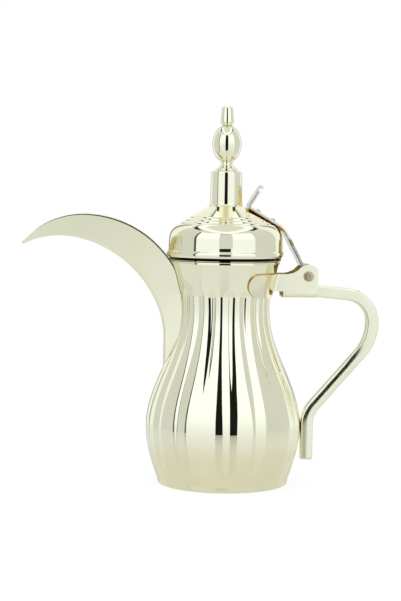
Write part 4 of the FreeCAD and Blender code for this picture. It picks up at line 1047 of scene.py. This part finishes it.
# Finial
# Three turned brass pieces threaded on a stud: a flanged collar with a waisted neck, an egg-shaped
# ball and a short tapered cap. Inside the tower a washer and a nut pull them tight.
collar_radius = 7.7
collar_flange = 1.4
collar_step = 6.2
collar_neck = 4.1
collar_height = 6.5
collar_seat = 4.8
ball_radius = 10.25
ball_half_height = 13.4
ball_below = 11.8
ball_height = 24.6
ball_steps = 48
cap_foot = 3.4
cap_ring = 4.0
cap_wide = 4.95
cap_end = 3.95
cap_height = 12.9
finial_gold = metal_finish("finial_gold", lines=(60, 60, 2500), haze=0.04, scratch=0.02)
collar_top = tower_top + collar_height
collar = turned("finial_collar_turned", bent_line([
    (stud_hole, tower_top), (collar_radius, tower_top, 0.2), (collar_radius, tower_top + collar_flange, 0.5),
    (collar_step, tower_top + collar_flange + 0.4, 0.5), (collar_neck, collar_top - 2.2, 3.0),
    (collar_neck, collar_top - 0.6, 0.8), (collar_seat, collar_top), (stud_hole, collar_top)],
    closed=True, turn=6, run=0.5), closed=True, steps=96)
ball_middle = collar_top + ball_below
ball_start = -math.asin(ball_below / ball_half_height)
ball_end = math.asin((ball_height - ball_below) / ball_half_height)
ball_turns = [ball_start + (ball_end - ball_start) * step / ball_steps for step in range(ball_steps + 1)]
ball_skin = [Vector((ball_radius * math.cos(turn), ball_middle + ball_half_height * math.sin(turn)))
             for turn in ball_turns]
ball_top = collar_top + ball_height
ball = turned("finial_ball_turned", [Vector((stud_hole, collar_top))] + ball_skin +
              [Vector((stud_hole, ball_top))], closed=True, steps=128)
cap_top = ball_top + cap_height
cap = turned("finial_cap_turned", bent_line([
    (0, ball_top), (cap_foot, ball_top), (cap_ring, ball_top + 0.4, 0.3), (cap_ring, ball_top + 1.1, 0.3),
    (cap_wide, ball_top + 2.2, 0.5), (cap_end, cap_top, 1.6), (0, cap_top)], turn=6, run=0.5), steps=96)
for piece, node in ((collar, "finial_collar"), (ball, "finial_ball"), (cap, "finial_cap")):
    piece.data.materials.append(finial_gold)
    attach(piece, "lid")
    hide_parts(node)
for node in ("finial_stud", "finial_washer", "finial_nut"):
    refinish(node, drawn_steel)

# Camera
# A long lens in front of the pot, a little to the spout's side and level with the lid's tower, that looks
# slightly down on it.
camera_turn = math.radians(-5.2)
camera_distance = 1.09
camera_height = 0.2
camera_roll = math.radians(0.8)
aim = Vector((-0.0168, 0, 0.127))
camera_data = bpy.data.cameras.new("camera")
camera_data.lens = 94.2
camera_data.sensor_width = 36.0
camera = placed("camera", camera_data)
camera.location = (math.sin(camera_turn) * camera_distance,
                   -math.cos(camera_turn) * camera_distance, camera_height)
look = (aim - camera.location).to_track_quat("-Z", "Y").to_matrix()
camera.rotation_euler = (look @ Matrix.Rotation(camera_roll, 3, "Z")).to_euler()
bpy.context.scene.camera = camera

# Studio light
# A pale grey room with a white backdrop, two large soft boxes left and right of the camera with a dark gap
# between them, and a framed soft box overhead: the polished plate shows little else than these.
# Edges are angles in degrees seen from the pot; the overhead box is measured on a ceiling one unit up.
room_low = (0.70, 0.75, 0.80, 1)
room_high = (0.74, 0.79, 0.84, 1)
backdrop_white = (0.98, 1.03, 1.08, 1)
backdrop_gap = (0.30, 0.31, 0.32, 1)
box_low_tone = (0.9, 0.96, 1.05, 1)
box_high_tone = (1.15, 1.25, 1.45, 1)
stand_black = (0.10, 0.10, 0.09, 1)
gap_black = (0.012, 0.012, 0.012, 1)
frame_black = (0.03, 0.03, 0.03, 1)
over_middle_tone = (0.78, 0.83, 0.88, 1)
over_rim_tone = (1.15, 1.25, 1.4, 1)
boxes_left = -60.5
boxes_right = 62
boxes_bottom = -42
boxes_top = 44
stand_left = -65.5
gap_left = -11.8
gap_right = 11
over_half_width = 0.6
over_back = 0.72
over_frame_edge = 1.75
over_frame_cut = 0.5
world = bpy.data.worlds.new("studio")
bpy.context.scene.world = world
world.use_nodes = True
studio = world.node_tree
studio.nodes.clear()


def worked(operation, *values):
    """One step of arithmetic on values or sockets."""
    return put_node(studio, "ShaderNodeMath", {"operation": operation}, dict(enumerate(values))).outputs[0]


def ramp(value, start, end):
    """Rises from 0 at the start to 1 at the end."""
    return put_node(studio, "ShaderNodeMapRange", {"interpolation_type": "SMOOTHSTEP"}, {
        "Value": value, "From Min": start, "From Max": end}).outputs["Result"]


def band(value, low, high, soft):
    """1 between two values, with soft edges centred on them."""
    above_low = ramp(value, low - soft / 2, low + soft / 2)
    below_high = ramp(value, high + soft / 2, high - soft / 2)
    return worked("MULTIPLY", above_low, below_high)


def painted(under_colour, over_colour, share):
    """One colour laid over another by a share from 0 to 1."""
    return put_node(studio, "ShaderNodeMix", {"data_type": "RGBA"}, {
        0: share, 6: under_colour, 7: over_colour}).outputs[2]


direction = put_node(studio, "ShaderNodeTexCoord").outputs["Generated"]
direction = put_node(studio, "ShaderNodeMapping", None, {
    "Vector": direction, "Rotation": (0, 0, -camera_turn)}).outputs["Vector"]
axes = put_node(studio, "ShaderNodeSeparateXYZ", None, {0: direction}).outputs
forward = worked("MULTIPLY", axes["Y"], -1.0)
aside = worked("DEGREES", worked("ARCTAN2", axes["X"], forward))
rise = worked("DEGREES", worked("ARCSINE", axes["Z"]))
off_middle = worked("ABSOLUTE", aside)
room = painted(room_low, room_high, ramp(rise, 20, 60))
backdrop = worked("MULTIPLY", ramp(off_middle, 118, 122), band(rise, boxes_bottom, 50, 4))
room = painted(room, backdrop_white, backdrop)
back_gaps = worked("MULTIPLY", band(off_middle, 148, 158, 3), band(rise, boxes_bottom, 43, 3))
room = painted(room, backdrop_gap, back_gaps)
front_boxes = worked("MULTIPLY", band(aside, boxes_left, boxes_right, 1.0),
                     band(rise, boxes_bottom, boxes_top, 2.0))
box_tone = painted(box_low_tone, box_high_tone, ramp(rise, -14, 24))
room = painted(room, box_tone, front_boxes)
stand = worked("MULTIPLY", band(aside, stand_left, boxes_left, 1.0), band(rise, boxes_bottom, boxes_top, 2.0))
room = painted(room, stand_black, stand)
gap = worked("MULTIPLY", band(aside, gap_left, gap_right, 1.0), band(rise, -45, 42.5, 1.0))
room = painted(room, gap_black, gap)
above = worked("MAXIMUM", axes["Z"], 0.05)
over_across = worked("ABSOLUTE", worked("DIVIDE", axes["X"], above))
over_along = worked("DIVIDE", forward, above)
over_end = worked("MAXIMUM", over_along, worked("DIVIDE", over_along, -over_back))
over_out = worked("ADD", worked("POWER", worked("DIVIDE", over_across, over_half_width), 2.0),
                  worked("POWER", over_end, 2.0))
over_edge = worked("SUBTRACT", over_frame_edge, worked(
    "MULTIPLY", ramp(over_along, -0.3, -0.5), over_frame_cut))
over_frame = worked("MULTIPLY", ramp(over_out, 0.9, 1.1),
                    ramp(over_out, over_edge, worked("SUBTRACT", over_edge, 0.2)))
over_frame = worked("MULTIPLY", over_frame, ramp(over_along, 0.27, -0.03))
room = painted(room, frame_black, over_frame)
over_box = painted(over_middle_tone, over_rim_tone, ramp(over_out, 0.25, 0.6))
room = painted(room, over_box, ramp(over_out, 1.06, 0.96))
room = painted(room, room_high, ramp(rise, -44, -50))
seen_white = put_node(studio, "ShaderNodeLightPath").outputs["Is Camera Ray"]
room = painted(room, (1, 1, 1, 1), seen_white)
light = put_node(studio, "ShaderNodeBackground", None, {"Color": room, "Strength": 1.0}).outputs[0]
put_node(studio, "ShaderNodeOutputWorld", None, {"Surface": light})

# Table
# A round table with a white paper top, on which the pot stands. The plate shows the paper in a softer glowing
# tone, a little deeper close to the pot, where a shadow and warm light from the gold are painted on.
table_radius = 0.4
table_steps = 96
paper_near_painted_shadow = (0.73, 0.74, 0.68, 1)
paper_far = (0.79, 0.84, 0.88, 1)
paper_white = (1.1, 1.1, 1.1, 1)
paper_glow = 0.75
table_rim = [2 * math.pi * step / table_steps for step in range(table_steps)]
floor_mesh = bpy.data.meshes.new("floor")
table_corners = [(table_radius * math.cos(turn), table_radius * math.sin(turn), 0) for turn in table_rim]
floor_mesh.from_pydata(table_corners, [], [list(range(table_steps))])
floor = placed("floor", floor_mesh)
floor_white = bare_material("floor_white")
tree = floor_white.node_tree
paper = put_node(tree, "ShaderNodeTexNoise", None, {"Scale": 12.0, "Detail": 4.0}).outputs["Fac"]
paper = put_node(tree, "ShaderNodeMapRange", None, {
    "Value": paper, "To Min": 0.9, "To Max": 0.96}).outputs["Result"]
matt = put_node(tree, "ShaderNodeBsdfDiffuse", None, {"Color": paper}).outputs[0]
spot = put_node(tree, "ShaderNodeTexCoord").outputs["Object"]
from_pot = put_node(tree, "ShaderNodeVectorMath", {"operation": "LENGTH"}, {0: spot}).outputs["Value"]
# Painted shadow: the paper seen in the plate is deeper and warmer close to the pot.
lit = put_node(tree, "ShaderNodeMapRange", {"interpolation_type": "SMOOTHSTEP"}, {
    "Value": from_pot, "From Min": 0.05, "From Max": 0.16}).outputs["Result"]
bright = put_node(tree, "ShaderNodeMix", {"data_type": "RGBA"}, {
    0: lit, 6: paper_near_painted_shadow, 7: paper_far}).outputs[2]
shown = put_node(tree, "ShaderNodeEmission", None, {"Color": bright, "Strength": 1.0}).outputs[0]
gloss = put_node(tree, "ShaderNodeBsdfGlossy", None, {"Color": (1, 1, 1, 1), "Roughness": 0.2}).outputs[0]
glance = put_node(tree, "ShaderNodeFresnel", None, {"IOR": 1.45}).outputs["Fac"]
shown = put_node(tree, "ShaderNodeMixShader", None, {0: glance, 1: shown, 2: gloss}).outputs[0]
white = put_node(tree, "ShaderNodeEmission", None, {"Color": paper_white, "Strength": 1.0}).outputs[0]
paths = put_node(tree, "ShaderNodeLightPath").outputs
seen = put_node(tree, "ShaderNodeMath", {"operation": "MULTIPLY"}, {
    0: paths["Is Camera Ray"], 1: paper_glow}).outputs[0]
top = put_node(tree, "ShaderNodeMixShader", None, {0: seen, 1: matt, 2: white}).outputs[0]
top = put_node(tree, "ShaderNodeMixShader", None, {
    0: paths["Is Glossy Ray"], 1: top, 2: shown}).outputs[0]
put_node(tree, "ShaderNodeOutputMaterial", None, {"Surface": top})
floor_mesh.materials.append(floor_white)

# Grey card
# A small grey card close in front of the lid that the camera does not see; it glows with its own light. The
# lid's wall shows its glow as the grey stripe in the dark gap between the soft boxes.
card_left = -0.0145
card_right = 0.005
card_low = 0.166
card_high = 0.194
card_front = -0.062
card_dark = (0.68, 0.73, 0.79, 1)
card_light = (0.76, 0.81, 0.87, 1)
card_mesh = bpy.data.meshes.new("grey_card")
card_mesh.from_pydata([
    (card_left, card_front, card_low), (card_right, card_front, card_low),
    (card_right, card_front, card_high), (card_left, card_front, card_high)], [], [(0, 1, 2, 3)])
card = placed("grey_card", card_mesh)
card_glow = bare_material("card_glow")
tree = card_glow.node_tree
tone = put_node(tree, "ShaderNodeTexNoise", None, {"Scale": 20.0}).outputs["Fac"]
tone = put_node(tree, "ShaderNodeMix", {"data_type": "RGBA"}, {
    0: tone, 6: card_dark, 7: card_light}).outputs[2]
# Painted light: the card glows at a fixed strength instead of being lit.
glow = put_node(tree, "ShaderNodeEmission", None, {"Color": tone, "Strength": 1.0}).outputs[0]
put_node(tree, "ShaderNodeOutputMaterial", None, {"Surface": glow})
card_mesh.materials.append(card_glow)
card.visible_camera = False
card.visible_diffuse = False
card.visible_shadow = False
bpy.context.scene.view_settings.view_transform = "Standard"
